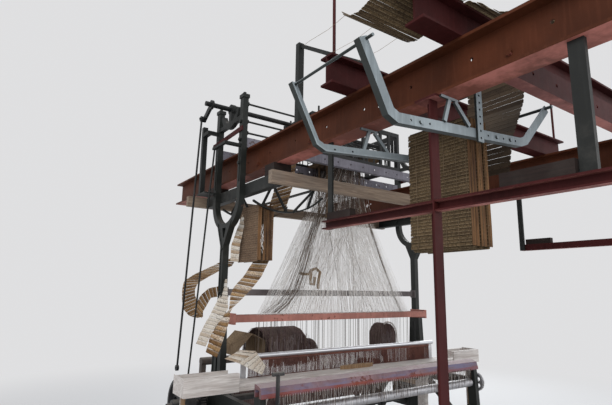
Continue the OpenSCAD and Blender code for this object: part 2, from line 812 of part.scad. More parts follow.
// Lifting frame of the head with its knives; it slides up and down.
module griffe() {
    z = griffe_z;
    color([0.22, 0.22, 0.22]) {
        for (x = [-344, 586]) {
            block([x, near_y + 30, z - 20], [x + 20, far_y - 30, z]);
            block([x, -216, z], [x + 20, -196, shaft_z + 24]);
            block([x, -216, shaft_z + 14.6], [x + 20, -170, shaft_z + 24]);
        }
        for (iy = [0:5]) block([-324, -190 + 70 * iy - 10, z - 14], [586, -190 + 70 * iy - 5, z]);
    }
}

// Arms that carry the pattern cylinder; they swing out from the top of the head.
module cylinder_batten() {
    top = rail_top + head_h;
    color([0.10, 0.10, 0.11]) {
        difference() {
            union() {
                for (y = [fork_y - batten_y - 12, fork_y + batten_y]) xz(y, y + 12) {
                    strip([head_x0 - 45, top - 24], [head_x0 - 95, cylinder_z], 34);
                    translate([head_x0 - 45, top - 24]) circle(r = 22);
                    translate([head_x0 - 95, cylinder_z]) circle(r = 30);
                }
                bar_y(head_x0 - 45, fork_y - batten_y, fork_y + batten_y, top - 24, 14);
            }
            bar_y(head_x0 - 45, -260, 260, top - 24, 9.05);
            bar_y(head_x0 - 95, -260, 260, cylinder_z, 12.05);
        }
    }
}

// Square pattern cylinder with its rows of holes and end journals.
module card_cylinder() {
    w = cylinder_w / 2;
    color([0.40, 0.30, 0.20]) translate([head_x0 - 95, 0, cylinder_z]) {
        difference() {
            block([-w, fork_y - cylinder_len / 2, -w], [w, fork_y + cylinder_len / 2, w]);
            for (iy = [-4:4], iz = [-1:1]) bar_x(-w - 1, w + 1, fork_y + 38 * iy, 24 * iz, 4);
        }
        bar_y(0, fork_y - batten_y - 16, fork_y + batten_y + 16, 0, 12);
    }
}

// Rocking shaft above the uprights with its hand wheel, outer lever and lifting arms.
module lift_shaft() {
    color([0.09, 0.09, 0.09]) {
        bar_x(-half - 240, head_x1 + 40, fork_y, shaft_z, 20);
        bar_x(-half + 24, -half + 50, fork_y, shaft_z, 40);
        yz(-half - 196, -half - 176) {
            strip([fork_y, shaft_z], [128, lever_z], 44);
            translate([fork_y, shaft_z]) circle(r = 38);
            translate([128, lever_z]) circle(r = 24);
        }
        bar_x(-half - 230, -half - 196, 128, lever_z, 9);
        for (x = [-344, 586]) {
            yz(x, x + 20) {
                strip([fork_y, shaft_z], [-180, shaft_z], 24);
                translate([fork_y, shaft_z]) circle(r = 34);
                translate([-180, shaft_z]) circle(r = 14);
            }
        }
    }
}

// Long rod that pulls the outer lever down from the drive.
module lift_rod() {
    top = [lift_x, 128, lever_z];
    foot = [lift_x, 330, 980];
    color([0.07, 0.07, 0.07]) difference() {
        union() {
            rod(top + [0, 2, -20], foot, 8);
            bar_x(lift_x - 10, lift_x + 10, 128, lever_z, 24);
            bar_x(lift_x - 10, lift_x + 10, 332, 965, 22);
        }
        bar_x(lift_x - 30, lift_x + 20, 128, lever_z, 9.05);
        bar_x(lift_x - 30, lift_x + 20, 332, 965, 9.05);
    }
}

// Short outer tower with the guide of the lift rod and its stay rod.
module rod_tower() {
    outer = -half - post_t / 2;
    color([0.08, 0.09, 0.08]) {
        block([-half - 120, 300, fork_z + 90], [-half - 80, 340, lever_z]);
        block([-half - 125, far_y - 20, fork_z + 78], [outer, 360, fork_z + 90]);
        block([-half - 120, far_y - 15, lever_z - 90], [outer, far_y + 15, lever_z - 60]);
        block([-half - 120, far_y - 15, lever_z - 90], [-half - 80, 310, lever_z - 60]);
        block([-half - 162, near_y - 20, girder_top], [outer, near_y + 20, girder_top + 20]);
        block([-half - 162, near_y - 20, girder_top], [-half - 138, -20, girder_top + 20]);
        rod([stay_x, -40, girder_top + 2], [stay_x, 250, side_h + 6], 7);
        block([-half - 164, 236, side_h], [-half + 10, 264, side_h + 12]);
    }
}

// A straight cord between two horizontal faces, kept just clear of both.
module cord(low, high) {
    d = high - low;
    way = d / norm(d);
    ease = (0.3 + cord_d / 2 * norm([way.x, way.y])) / way.z;
    rod(low + way * ease, high - way * ease, cord_d / 2);
}

// Cords that fan out from the neck board to the comber board, and those from it up to the hooks.
module harness_cords() {
    color([0.60, 0.54, 0.46]) for (i = [0:cord_count - 1], row = [0, 1]) {
        knot = neck_knot(i, row);
        hole = comber_hole(i, row);
        hook = hook_points()[6 * floor(i / 3) + i % 3 + 3 * row];
        cord([hole.x, hole.y, comber_z + 18], knot - [0, 0, 6]);
        cord(knot + [0, 0, 6], [hook.x, hook.y, rail_top - 60]);
    }
}

// Heddles below the comber board, each with its eye.
module heddles() {
    color([0.33, 0.26, 0.22]) for (i = [0:cord_count - 1], row = [0, 1]) {
        p = comber_hole(i, row);
        bar_z(p.x, p.y, 760 + lingo_len / 2, comber_z + 18, cord_d / 2);
        bar_z(p.x, p.y, 975, 1000, cord_d / 2 + 1.4);
    }
}

// Wire weights at the ends of the heddles.
module lingoes() {
    color([0.12, 0.10, 0.10]) for (i = [0:cord_count - 1], row = [0, 1]) {
        p = comber_hole(i, row);
        drop = 24 * ((i * 5 + row * 3) % 4) / 3;
        bar_z(p.x, p.y, 760 - lingo_len / 2 - drop, 760 + lingo_len / 2, 3);
    }
}

// Notch that seats a skein on the back rest's bar.
module back_rest_notch() {
    translate([420, 985]) circle(r = 32.3);
    translate([387.7, 700]) square([64.6, 285]);
}

// A skein of old warp laid over the back rest, r high, its ends hanging down by drop.
module yarn_bundle(x0, x1, r, drop) {
    yz(x0, x1) difference() {
        union() {
            intersection() {
                translate([420, 985]) circle(r = r);
                translate([420 - r, 985]) square([2 * r, r]);
            }
            polygon([
                [424 - r, 985.5], [416 + r, 985.5], [404 + r, 985 - drop], [500, 975 - drop],
                [340, 1005 - drop], [436 - r, 985 - drop]
            ]);
        }
        back_rest_notch();
    }
}

// Skeins on the back rest: a broad heap, its slope, a folded flap and a rounded hank at the right.
module yarn_bundles() {
    color([0.22, 0.15, 0.12]) {
        yarn_bundle(-558, -132, 262, 60);
        yarn_bundle(-131.5, 52, 140, 70);
        xz(240, 600) polygon([
            [-816, 1018], [-816, 1092], [-690, 1212], [-562, 1150], [-562, 1018]
        ]);
        difference() {
            xz(250, 590) union() {
                translate([900, 1108]) circle(r = 165);
                translate([735, 985.5]) square([330, 122.5]);
            }
            yz(730, 1070) back_rest_notch();
        }
    }
}

// Sley: swords on the rocking shaft, race board, back rail and the two shuttle boxes.
module sley() {
    color([0.30, 0.16, 0.13]) {
        yz(-half + 60, half - 60) difference() {
            polygon([[-420, race_z - 50], [-236, race_z - 50], [-236, race_z - 8], [-268, race_z - 8], [-268, race_z], [-420, race_z]]);
            translate([reed_y - 5.2, race_z - 40]) square([10.4, 80]);
        }
        both_sides() difference() {
            block([half - 60, -420, race_z - 50], [half + 430, -236, race_z]);
            block([half + 60, -350, race_z - 60], [half + 420, -310, race_z + 10]);
        }
    }
    color([0.14, 0.14, 0.13]) {
        for (x = [-sword_x - 20, sword_x - 20]) yz(x, x + 40) {
            polygon([
                [rock_y - 40, rock_z], [rock_y + 40, rock_z], [-222, crank_z - 60], [pin_y + 26, crank_z - 26],
                [pin_y + 26, crank_z + 26], [-236, crank_z + 60], [-250, race_z - 50], [-400, race_z - 50],
                [-318, crank_z + 60]
            ]);
            translate([rock_y, rock_z]) circle(r = 46);
        }
        bar_x(-half - side_t / 2 - 30, half + side_t / 2 + 30, rock_y, rock_z, 24);
        both_sides() {
            bar_x(sword_x + 19, arm_x - 13.5, pin_y, crank_z, 14);
            block([stick_x - 10, -309, 282], [stick_x + 10, -300, race_z - 49]);
            bar_y(stick_x, -352, -300, 300, 9);
        }
    }
    color([0.33, 0.22, 0.16]) both_sides() difference() {
        union() {
            block([half + 40, -432, race_z - 50], [half + 428, -420, race_z + 62]);
            block([half + 40, -244, race_z], [half + 428, -236, race_z + 62]);
            block([half + 40, -432, race_z + 62], [half + 428, -400, race_z + 70]);
            block([half + 428, -432, race_z - 50], [half + 430, -236, race_z + 70]);
        }
    }
}

// Round silver rail along the top of the reed.
module reed_cap() {
    color([0.55, 0.56, 0.58]) {
        difference() {
            bar_x(-half + 62, half - 62, reed_y, 1086 + reed_cap_d / 2, reed_cap_d / 2);
            block([-half, reed_y - 6.2, 1000], [half, reed_y + 6.2, 1092]);
        }
        for (x = [-half + 62, half - 102]) {
            block([x, reed_y + 7, race_z - 8], [x + 40, reed_y + 20, 1100]);
        }
    }
}

// Reed: top and bottom baulks with upright dents between them.
module reed() {
    reach = half - 110;
    gap = 2 * reach / (reed_gaps + 1);
    color([0.25, 0.13, 0.11]) difference() {
        block([-reach, reed_y - 5, race_z - 40], [reach, reed_y + 5, 1091.7]);
        for (i = [0:reed_gaps - 1])
            block([-reach + gap * (i + 0.65), reed_y - 20, race_z + 6], [-reach + gap * (i + 1.25), reed_y + 20, 1074]);
    }
}

// Wooden picking stick with its leather picker, built for the left side.
module picking_stick() {
    color([0.40, 0.30, 0.20]) difference() {
        union() {
            block([-stick_x - 11, -344, 300], [-stick_x + 11, -316, race_z + 40]);
            bar_y(-stick_x, -344, -316, 300, 24);
            block([-stick_x - 14, -346, race_z + 8], [-stick_x + 20, -314, race_z + 52]);
        }
        bar_y(-stick_x, -360, -290, 300, 9.05);
    }
}

module picking_stick_left() {
    picking_stick();
}

module picking_stick_right() {
    mirror([1, 0, 0]) picking_stick();
}

// Boat shuttle, resting on the middle of the race.
module shuttle() {
    x = -180;
    color([0.50, 0.36, 0.20]) difference() {
        xy(race_z + 0.3, race_z + 30) polygon([
            [x, -330], [x + 60, -350], [x + 300, -350], [x + 360, -330], [x + 300, -306], [x + 60, -306]
        ]);
        block([x + 80, -342, race_z + 10], [x + 280, -314, race_z + 40]);
    }
}

// Crankshaft with two cranks and the small gear outside the left frame.
module crankshaft() {
    pin = crank_y + crank_throw;
    color([0.16, 0.16, 0.17]) {
        bar_x(-half - 330, -arm_x - 20, crank_y, crank_z, 25);
        bar_x(-arm_x + 20, arm_x - 20, crank_y, crank_z, 25);
        bar_x(arm_x + 20, half + 60, crank_y, crank_z, 25);
        for (x = [-arm_x - 38, -arm_x + 14, arm_x - 38, arm_x + 14])
            yz(x, x + 24) {
                strip([crank_y, crank_z], [pin, crank_z], 64);
                translate([crank_y, crank_z]) circle(r = 38);
                translate([pin, crank_z]) circle(r = 32);
            }
        for (x = [-arm_x, arm_x]) bar_x(x - 15, x + 15, pin, crank_z, 20);
        translate([0, crank_y, crank_z]) yz(-half - 84, -half - 44) gear_profile(24, gear_module, -90);
    }
}

// Fly wheel and belt pulley at the left end of the crankshaft.
module drive_pulley() {
    color([0.08, 0.08, 0.09]) translate([0, crank_y, crank_z]) {
        difference() {
            union() {
                difference() {
                    bar_x(-half - 260, -half - 170, 0, 0, 190);
                    bar_x(-half - 262, -half - 224, 0, 0, 168);
                    bar_x(-half - 206, -half - 168, 0, 0, 168);
                    for (a = [0:60:300])
                        rotate([a, 0, 0]) bar_x(-half - 262, -half - 168, 108, 0, 42);
                }
                bar_x(-half - 290, -half - 120, 0, 0, 46);
            }
            bar_x(-half - 292, -half - 118, 0, 0, 25.3);
        }
    }
}

// Tappet shaft at half speed with its large gear and the picking tappets.
module tappet_shaft() {
    color([0.15, 0.15, 0.15]) {
        bar_x(-half - 110, half + 60, crank_y, tappet_z, 22);
        translate([0, crank_y, tappet_z]) yz(-half - 84, -half - 44) difference() {
            gear_profile(48, gear_module, 90 + 3.75);
            for (a = [0:60:300]) rotate(a + 30) translate([78, 0]) circle(r = 30);
        }
        for (x = [-780, 740]) yz(x, x + 40) {
            translate([crank_y, tappet_z]) circle(r = 46);
            translate([crank_y + 26, tappet_z]) circle(r = 44);
        }
    }
}

// Connecting arms from the crank pins to the swords.
module crank_arms() {
    pin = crank_y + crank_throw;
    color([0.36, 0.28, 0.20]) for (s = [-1, 1]) difference() {
        yz(s * arm_x - 13, s * arm_x + 13) {
            strip([pin_y, crank_z], [pin, crank_z], 40);
            translate([pin, crank_z]) circle(r = 40);
            translate([pin_y, crank_z]) circle(r = 27);
        }
        bar_x(s * arm_x - 60, s * arm_x + 60, pin, crank_z, 20.05);
    }
}

// Sand roller of the take-up motion with its gear outside the right frame.
module take_up_roller() {
    color([0.42, 0.42, 0.43]) {
        bar_x(-half + side_t / 2 + 12, half - side_t / 2 - 12, -650, side_h - 40, 34);
        bar_x(-half - 30, half + 74, -650, side_h - 40, 18);
        translate([0, -650, side_h - 40]) yz(half + 40, half + 66) difference() {
            gear_profile(54, 3);
            for (a = [0:72:288]) rotate(a) translate([46, 0]) circle(r = 18);
        }
    }
}

// Cloth roller with the last of its cloth.
module cloth_roller() {
    color([0.66, 0.63, 0.58]) {
        bar_x(-half + side_t / 2 + 12, half - side_t / 2 - 12, -640, 560, 34);
        bar_x(-half - 30, half + 40, -640, 560, 18);
        bar_x(-800, 780, -640, 560, 52);
    }
}

// Warp beam: barrel, two flanges and the rope ruffle.
module warp_beam() {
    color([0.20, 0.17, 0.15]) difference() {
        union() {
            bar_x(-half + side_t / 2 + 22, half - side_t / 2 - 22, 620, 600, 70);
            bar_x(-half - 40, half + 40, 620, 600, 25);
            for (x = [-flange_x, flange_x - 24]) bar_x(x, x + 24, 620, 600, flange_d / 2);
            bar_x(flange_x + 10, half - 70, 620, 600, 105);
        }
        for (x = [-flange_x - 1, flange_x - 25], a = [0:60:300])
            translate([x, 620, 600]) rotate([a, 0, 0]) translate([0, 170, 0]) rotate([0, 90, 0]) cylinder(h = 26, r = 26);
    }
}

// Brown yarn left on the warp beam.
module warp_yarn() {
    color([0.35, 0.22, 0.15]) difference() {
        bar_x(24.5 - flange_x, flange_x - 24.5, 620, 600, 118);
        bar_x(-flange_x, flange_x, 620, 600, 70.3);
    }
}

// Flat handle beside the weaver's place that shifts the belt.
module starting_handle() {
    x = -half + 66;
    color([0.10, 0.10, 0.10]) {
        yz(x, x + 10) difference() {
            union() {
                ribbon([[-690, 640], [-750, 850], [-750, 1060]], 34);
                translate([-690, 640]) circle(r = 24);
            }
            translate([-690, 640]) circle(r = 10.05);
        }
        bar_x(x - 36, x + 46, -750, 1060, 13);
    }
}

// Brake lever with its shoe under the fly wheel.
module brake_lever() {
    color([0.12, 0.12, 0.12]) {
        yz(-half - 240, -half - 190) difference() {
            union() {
                strip([-60, 420], [340, 480], 40);
                translate([-60, 420]) circle(r = 34);
                translate([crank_y - 60, 440]) square([120, 78]);
            }
            translate([-60, 420]) circle(r = 14.05);
        }
    }
}

place() side_frame_left();
place() side_frame_right();
place() post_left();
place() post_right();
place() cross_rails();
place() breast_beam();
place() back_rest();
place() upper_stretcher();
place() comber_board();
place() fork_beams();
place() cross_planks();
place() spacer_blocks();
place() girder_left();
place() girder_right();
place() machine_rails();
place() tie_rods();
place() link_bars();
place() bearing_brackets();
place() cross_beams();
place() columns();
place() lower_rails();
place() rail_hangers();
place() rail_planks();
place() cradle_hoops();
place() cradle_hangers();
place() card_stack_near();
place() card_stack_left();
place() card_chain();
place() lower_cradle();
place() tower_brace();
place() machine_frame();
place() hook_boards();
place() hooks();
place() needles();
place() rod_tower();
place() harness_cords();
place() heddles();
place() lingoes();
place() yarn_bundles();
place() griffe();
place() cylinder_batten();
place() card_cylinder();
place() lift_shaft();
place() lift_rod();
place() sley();
place() reed_cap();
place() reed();
place() picking_stick_left();
place() picking_stick_right();
place() shuttle();
place() crankshaft();
place() drive_pulley();
place() tappet_shaft();
place() crank_arms();
place() take_up_roller();
place() cloth_roller();
place() warp_beam();
place() warp_yarn();
place() starting_handle();
place() brake_lever();
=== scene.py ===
import json
import math
import random

import bmesh
import bpy
from mathutils import Matrix, Vector


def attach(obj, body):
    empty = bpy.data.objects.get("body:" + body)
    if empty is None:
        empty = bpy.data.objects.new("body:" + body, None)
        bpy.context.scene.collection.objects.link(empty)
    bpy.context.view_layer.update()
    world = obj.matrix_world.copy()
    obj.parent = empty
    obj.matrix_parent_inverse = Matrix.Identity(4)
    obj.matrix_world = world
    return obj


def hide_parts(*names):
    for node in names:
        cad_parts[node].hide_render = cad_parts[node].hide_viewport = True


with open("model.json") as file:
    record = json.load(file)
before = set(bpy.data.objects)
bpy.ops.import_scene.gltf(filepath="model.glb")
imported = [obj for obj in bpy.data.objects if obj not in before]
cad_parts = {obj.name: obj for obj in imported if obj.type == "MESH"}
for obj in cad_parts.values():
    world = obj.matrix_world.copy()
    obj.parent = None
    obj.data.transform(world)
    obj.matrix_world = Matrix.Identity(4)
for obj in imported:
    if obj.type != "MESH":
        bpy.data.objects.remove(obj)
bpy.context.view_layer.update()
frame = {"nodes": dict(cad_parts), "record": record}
nodes = frame["nodes"]

# Millimetres of the drawing become metres of the frame; the drawing's Y starts at the uprights
SHIFT_Y = 0.725


def place(x, y, z):
    return Vector((x / 1000, y / 1000 + SHIFT_Y, z / 1000))


def route(*points):
    """A line through points given in the drawing's millimetres."""
    return [place(*point) for point in points]


# Nodes

class Graph:
    """A node tree whose nodes all come from one method; colours are RGB triples."""

    def __init__(self, tree):
        self.tree = tree

    def node(self, kind, settings, values):
        """Makes a node, sets its properties and feeds the sockets named by values."""
        made = self.tree.nodes.new(kind)
        for name, setting in settings.items():
            if name == "stops":
                self.set_stops(made.color_ramp.elements, setting)
            else:
                setattr(made, name, setting)
        for name, value in values.items():
            self.feed(made.inputs[name], value)
        return made

    def set_stops(self, elements, stops):
        while len(elements) < len(stops):
            elements.new(0.5)
        for element, (at, color) in zip(elements, stops):
            element.position = at
            element.color = (*color, 1)

    def feed(self, socket, value):
        """Gives a socket a link or a value of its own."""
        if isinstance(value, Value):
            value = value.socket
        if isinstance(value, bpy.types.NodeSocket):
            self.tree.links.new(value, socket)
        elif socket.type == "RGBA":
            socket.default_value = (*value, 1)
        else:
            socket.default_value = value


def new_object(name, data):
    made = bpy.data.objects.new(name, data)
    bpy.context.scene.collection.objects.link(made)
    return made


# Camera, light and floor

SKY = (0.93, 0.95, 1.0)
BACKDROP = (0.74, 0.74, 0.75)
FLOOR_REACH = 30
FLOOR_Z = -0.002


def set_camera(scene):
    camera = new_object("camera", bpy.data.cameras.new("camera"))
    camera.data.sensor_width = 36
    camera.data.lens = 26.48
    camera.data.clip_end = 60
    right = Vector((0.82188, -0.56944, 0.01569))
    up = Vector((-0.11964, -0.14560, 0.98208))
    back = Vector((-0.55696, -0.80903, -0.18780))
    turn = Matrix((right, up, back)).transposed().to_4x4()
    camera.matrix_world = Matrix.Translation((-2.618, -2.616, 1.600)) @ turn
    scene.camera = camera


def set_world(scene):
    """Soft light from all round; camera, gloss and glass see the plain backdrop instead of it."""
    world = bpy.data.worlds.new("studio")
    scene.world = world
    world.use_nodes = True
    world.node_tree.nodes.clear()
    studio = Graph(world.node_tree)
    sky = studio.node("ShaderNodeBackground", {}, {"Color": SKY, "Strength": 0.62})
    wall = studio.node("ShaderNodeBackground", {}, {"Color": BACKDROP, "Strength": 1.0})
    path = studio.node("ShaderNodeLightPath", {}, {})
    seen = path.outputs["Is Camera Ray"]
    for ray in ("Is Glossy Ray", "Is Transmission Ray"):
        total = studio.node(
            "ShaderNodeMath", {"operation": "ADD", "use_clamp": True}, {0: seen, 1: path.outputs[ray]}
        )
        seen = total.outputs[0]
    mix = studio.node("ShaderNodeMixShader", {}, {0: seen, 1: sky.outputs[0], 2: wall.outputs[0]})
    studio.node("ShaderNodeOutputWorld", {}, {"Surface": mix.outputs[0]})


def set_lamps():
    lamps = (
        ("window_lamp", (5.5, 4.5, 5.0), (-0.2, 0.4, 1.6), 4.5, 330, (0.95, 0.98, 1.0)),
        ("key_lamp", (-5.2, -4.2, 5.4), (0.0, 0.3, 1.7), 4.5, 220, (1.0, 0.98, 0.95)),
        ("fill_lamp", (4.5, -5.0, 2.6), (0.0, 0.0, 1.4), 4.0, 90, (1.0, 1.0, 1.0)),
    )
    for name, where, at, size, power, tint in lamps:
        lamp = new_object(name, bpy.data.lights.new(name, "AREA"))
        lamp.data.size = size
        lamp.data.energy = power
        lamp.data.color = tint
        lamp.location = where
        lamp.rotation_euler = (Vector(at) - Vector(where)).to_track_quat("-Z", "Y").to_euler()


def lay_floor():
    """A pale floor that fades into the backdrop away from the loom."""
    mesh = bpy.data.meshes.new("floor")
    corners = ((-1, -1), (1, -1), (1, 1), (-1, 1))
    points = [(x * FLOOR_REACH, y * FLOOR_REACH, FLOOR_Z) for x, y in corners]
    mesh.from_pydata(points, [], [(0, 1, 2, 3)])
    floor = new_object("floor", mesh)
    paint = Finish("floor_paint")
    paint.surface(color=(0.66, 0.66, 0.66), roughness=0.9)
    far = paint.node("ShaderNodeEmission", {}, {"Color": BACKDROP, "Strength": 1.0})
    x, y = paint.axis("X"), paint.axis("Y")
    away = (x * x + y * y).step(6.0, 60.0)
    near = paint.shader.outputs[0]
    faded = paint.node("ShaderNodeMixShader", {}, {0: away, 1: near, 2: far.outputs[0]})
    paint.feed(paint.out.inputs["Surface"], faded.outputs[0])
    mesh.materials.append(paint.material)


def set_the_stage():
    scene = bpy.context.scene
    scene.view_settings.view_transform = "Standard"
    set_camera(scene)
    set_world(scene)
    set_lamps()
    lay_floor()


# Shader writing

FINISHES = {}


def maths(operation, reflected=False):
    """A method that adds a Math node; the reflected form puts the value itself last."""
    def method(self, *others):
        values = (*others, self) if reflected else (self, *others)
        made = self.finish.node("ShaderNodeMath", {"operation": operation}, dict(enumerate(values)))
        return Value(self.finish, made.outputs[0])
    return method


class Value:
    """A number that varies over a surface; arithmetic on it adds Math nodes."""

    def __init__(self, finish, socket):
        self.finish = finish
        self.socket = socket

    __add__ = __radd__ = maths("ADD")
    __mul__ = __rmul__ = maths("MULTIPLY")
    __sub__ = maths("SUBTRACT")
    __rsub__ = maths("SUBTRACT", reflected=True)
    __truediv__ = maths("DIVIDE")
    __lt__ = maths("LESS_THAN")
    fraction = maths("FRACT")
    floor = maths("FLOOR")

    def step(self, low, high):
        """0 below low, 1 above high, smooth between."""
        made = self.finish.node(
            "ShaderNodeMapRange", {"interpolation_type": "SMOOTHSTEP", "clamp": True},
            {"Value": self, "From Min": low, "From Max": high, "To Min": 0.0, "To Max": 1.0},
        )
        return Value(self.finish, made.outputs["Result"])


class Finish(Graph):
    """A material kept by name, its surface shader and the patterns that feed it."""

    sockets = {
        "color": "Base Color", "roughness": "Roughness", "metallic": "Metallic", "normal": "Normal",
        "specular": "Specular IOR Level",
    }

    def __init__(self, name):
        self.material = bpy.data.materials.new(name)
        self.material.use_nodes = True
        FINISHES[name] = self.material
        super().__init__(self.material.node_tree)
        self.tree.nodes.clear()
        self.shader = self.node("ShaderNodeBsdfPrincipled", {}, {})
        self.out = self.node("ShaderNodeOutputMaterial", {}, {"Surface": self.shader.outputs[0]})
        self.coords = self.node("ShaderNodeTexCoord", {}, {})

    def where(self, scale=(1, 1, 1), uv=False):
        source = self.coords.outputs["UV" if uv else "Object"]
        return self.node("ShaderNodeMapping", {}, {"Vector": source, "Scale": scale}).outputs["Vector"]

    def noise(self, scale, detail=4.0, rough=0.55, stretch=(1, 1, 1), warp=0.0):
        made = self.node("ShaderNodeTexNoise", {}, {
            "Vector": self.where(stretch), "Scale": scale, "Detail": detail, "Roughness": rough,
            "Distortion": warp,
        })
        return Value(self, made.outputs["Fac"])

    def axis(self, which, uv=False):
        made = self.node("ShaderNodeSeparateXYZ", {}, {"Vector": self.where(uv=uv)})
        return Value(self, made.outputs[which])

    def toward(self, way):
        """How far a face looks along a direction, from -1 to 1, in the piece's own frame."""
        made = self.node(
            "ShaderNodeVectorMath", {"operation": "DOT_PRODUCT"}, {0: self.coords.outputs["Normal"], 1: way}
        )
        return Value(self, made.outputs["Value"])

    def upward(self):
        return self.toward((0, 0, 1))

    def mix(self, amount, a, b):
        """Colour a with colour b over it by amount."""
        settings = {"data_type": "RGBA", "clamp_factor": True}
        made = self.node("ShaderNodeMix", settings, {"Factor": amount, 6: a, 7: b})
        return made.outputs[2]

    def ramp(self, value, stops):
        """Colours over a number; each stop is (place, colour)."""
        return self.node("ShaderNodeValToRGB", {"stops": stops}, {"Fac": value}).outputs["Color"]

    def bump(self, height, strength, distance):
        values = {"Height": height, "Strength": strength, "Distance": distance}
        return self.node("ShaderNodeBump", {}, values).outputs["Normal"]

    def surface(self, **values):
        """Feeds the surface shader; each value is a number, a colour or something that varies."""
        for name, value in values.items():
            self.feed(self.shader.inputs[self.sockets[name]], value)


def darker(color, share):
    return tuple(c * share for c in color)


def painted_iron(
    name, paint, under, dust, chips=0.62, dusting=0.5, gloss=0.5, shade=0.55, sides=(), sheen=0.3
):
    """Old paint on iron: patchy colour, chips down to rust and dust on what looks up.

    Each of sides is a colour laid over the faces that look one way: its colour, the way it faces, the height
    below which it shows, and how much it covers. A negative cover flattens its patches into level bands. On
    the cradle the side colour is painted shade on the faces turned from the light; on the other finishes it
    is another coat of paint.
    """
    f = Finish(name)
    broad = f.noise(2.3, 5, 0.6)
    fine = f.noise(28, 6, 0.65)
    streak = f.noise(6, 4, 0.6, stretch=(9, 9, 0.7))
    light = tuple(min(1, c * 1.35 + 0.004) for c in paint)
    tone = f.mix(broad.step(0.35, 0.68), darker(paint, shade), paint)
    tone = f.mix(streak.step(0.45, 0.85) * 0.5, tone, light)
    chip = (fine * 0.6 + broad * 0.4).step(chips, chips + 0.035)
    rust = f.mix(f.noise(60, 4).step(0.35, 0.7), under, darker(under, 0.45))
    tone = f.mix(chip, tone, rust)
    settled = f.upward().step(0.35, 0.95) * (0.45 + 0.55 * f.noise(9, 5, 0.7)) * dusting
    film = f.noise(4, 6, 0.7).step(0.5, 0.75) * 0.25 * dusting
    tone = f.mix(settled + film, tone, dust)
    # Side colours: the cradle's near-black one is painted shade on faces turned from the light; the others
    # are coats of paint.
    for coat_and_shade, way, top, cover in sides:
        shows = f.toward(way).step(0.35, 0.6) * (f.axis("Z") < top)
        patch = f.noise(1.8, 6, 0.7, stretch=(1, 1, 7 if cover < 0 else 1)).step(0.42, 0.6)
        tone = f.mix(shows * (abs(cover) + (1 - abs(cover)) * patch), tone, coat_and_shade)
    f.surface(
        color=tone, roughness=gloss + 0.18 * fine + 0.25 * settled + 0.15 * chip, specular=sheen,
        normal=f.bump(fine * 0.5 + chip * -0.6 + broad * 0.3, 0.35, 0.003),
    )


def bare_metal(name, metal, grime, polish, stain):
    """Worn bright or oily metal with stains."""
    f = Finish(name)
    patch = f.noise(7, 6, 0.65)
    fine = f.noise(55, 4, 0.6)
    stained = (patch * 0.7 + fine * 0.3).step(stain, stain + 0.2)
    tone = f.mix(stained, metal, grime)
    tone = f.mix(f.upward().step(0.5, 1.0) * fine * 0.5, tone, (0.40, 0.37, 0.33))
    f.surface(
        color=tone, roughness=polish + 0.3 * stained + 0.15 * fine, metallic=0.9 - 0.6 * stained,
        normal=f.bump(fine, 0.2, 0.001),
    )


def old_wood(name, pale, deep, along=(1, 0, 0), weathered=0.0, gloss=0.6):
    """Wood with its grain along one axis, cracks and grey weathering."""
    f = Finish(name)
    stretch = tuple(1.5 if a else 22 for a in along)
    grain = f.noise(2.2, 8, 0.6, stretch=stretch, warp=1.2)
    lines = f.noise(9, 5, 0.7, stretch=stretch)
    middle = tuple((a + b) / 2 for a, b in zip(pale, deep))
    tone = f.ramp(grain, [(0.3, deep), (0.5, middle), (0.72, pale)])
    crack = lines.step(0.62, 0.70)
    tone = f.mix(crack * 0.6, tone, darker(deep, 0.35))
    tone = f.mix(f.noise(3, 5, 0.6).step(0.45, 0.7) * weathered, tone, (0.17, 0.155, 0.14))
    dust = f.upward().step(0.4, 1.0) * (0.3 + 0.7 * f.noise(12, 5)) * (0.25 + 0.5 * weathered)
    tone = f.mix(dust, tone, (0.46, 0.43, 0.39))
    relief = f.bump(grain * 0.5 - crack, 0.5, 0.002)
    f.surface(color=tone, roughness=gloss + 0.2 * grain, specular=0.18, normal=relief)


def thread(name, pale, deep):
    """Cord or yarn: matt, lighter and darker from strand to strand."""
    f = Finish(name)
    strand = f.noise(160, 2, 0.5, stretch=(1, 1, 0.03))
    wide = f.noise(5, 4, 0.6)
    f.surface(
        color=f.ramp(strand * 0.6 + wide * 0.4, [(0.34, deep), (0.62, pale)]), roughness=0.9, specular=0.2
    )


CARD_HEIGHT = 0.0325
STACK_CARD_HEIGHT = 0.0176
HOLE_PITCH = 0.0066


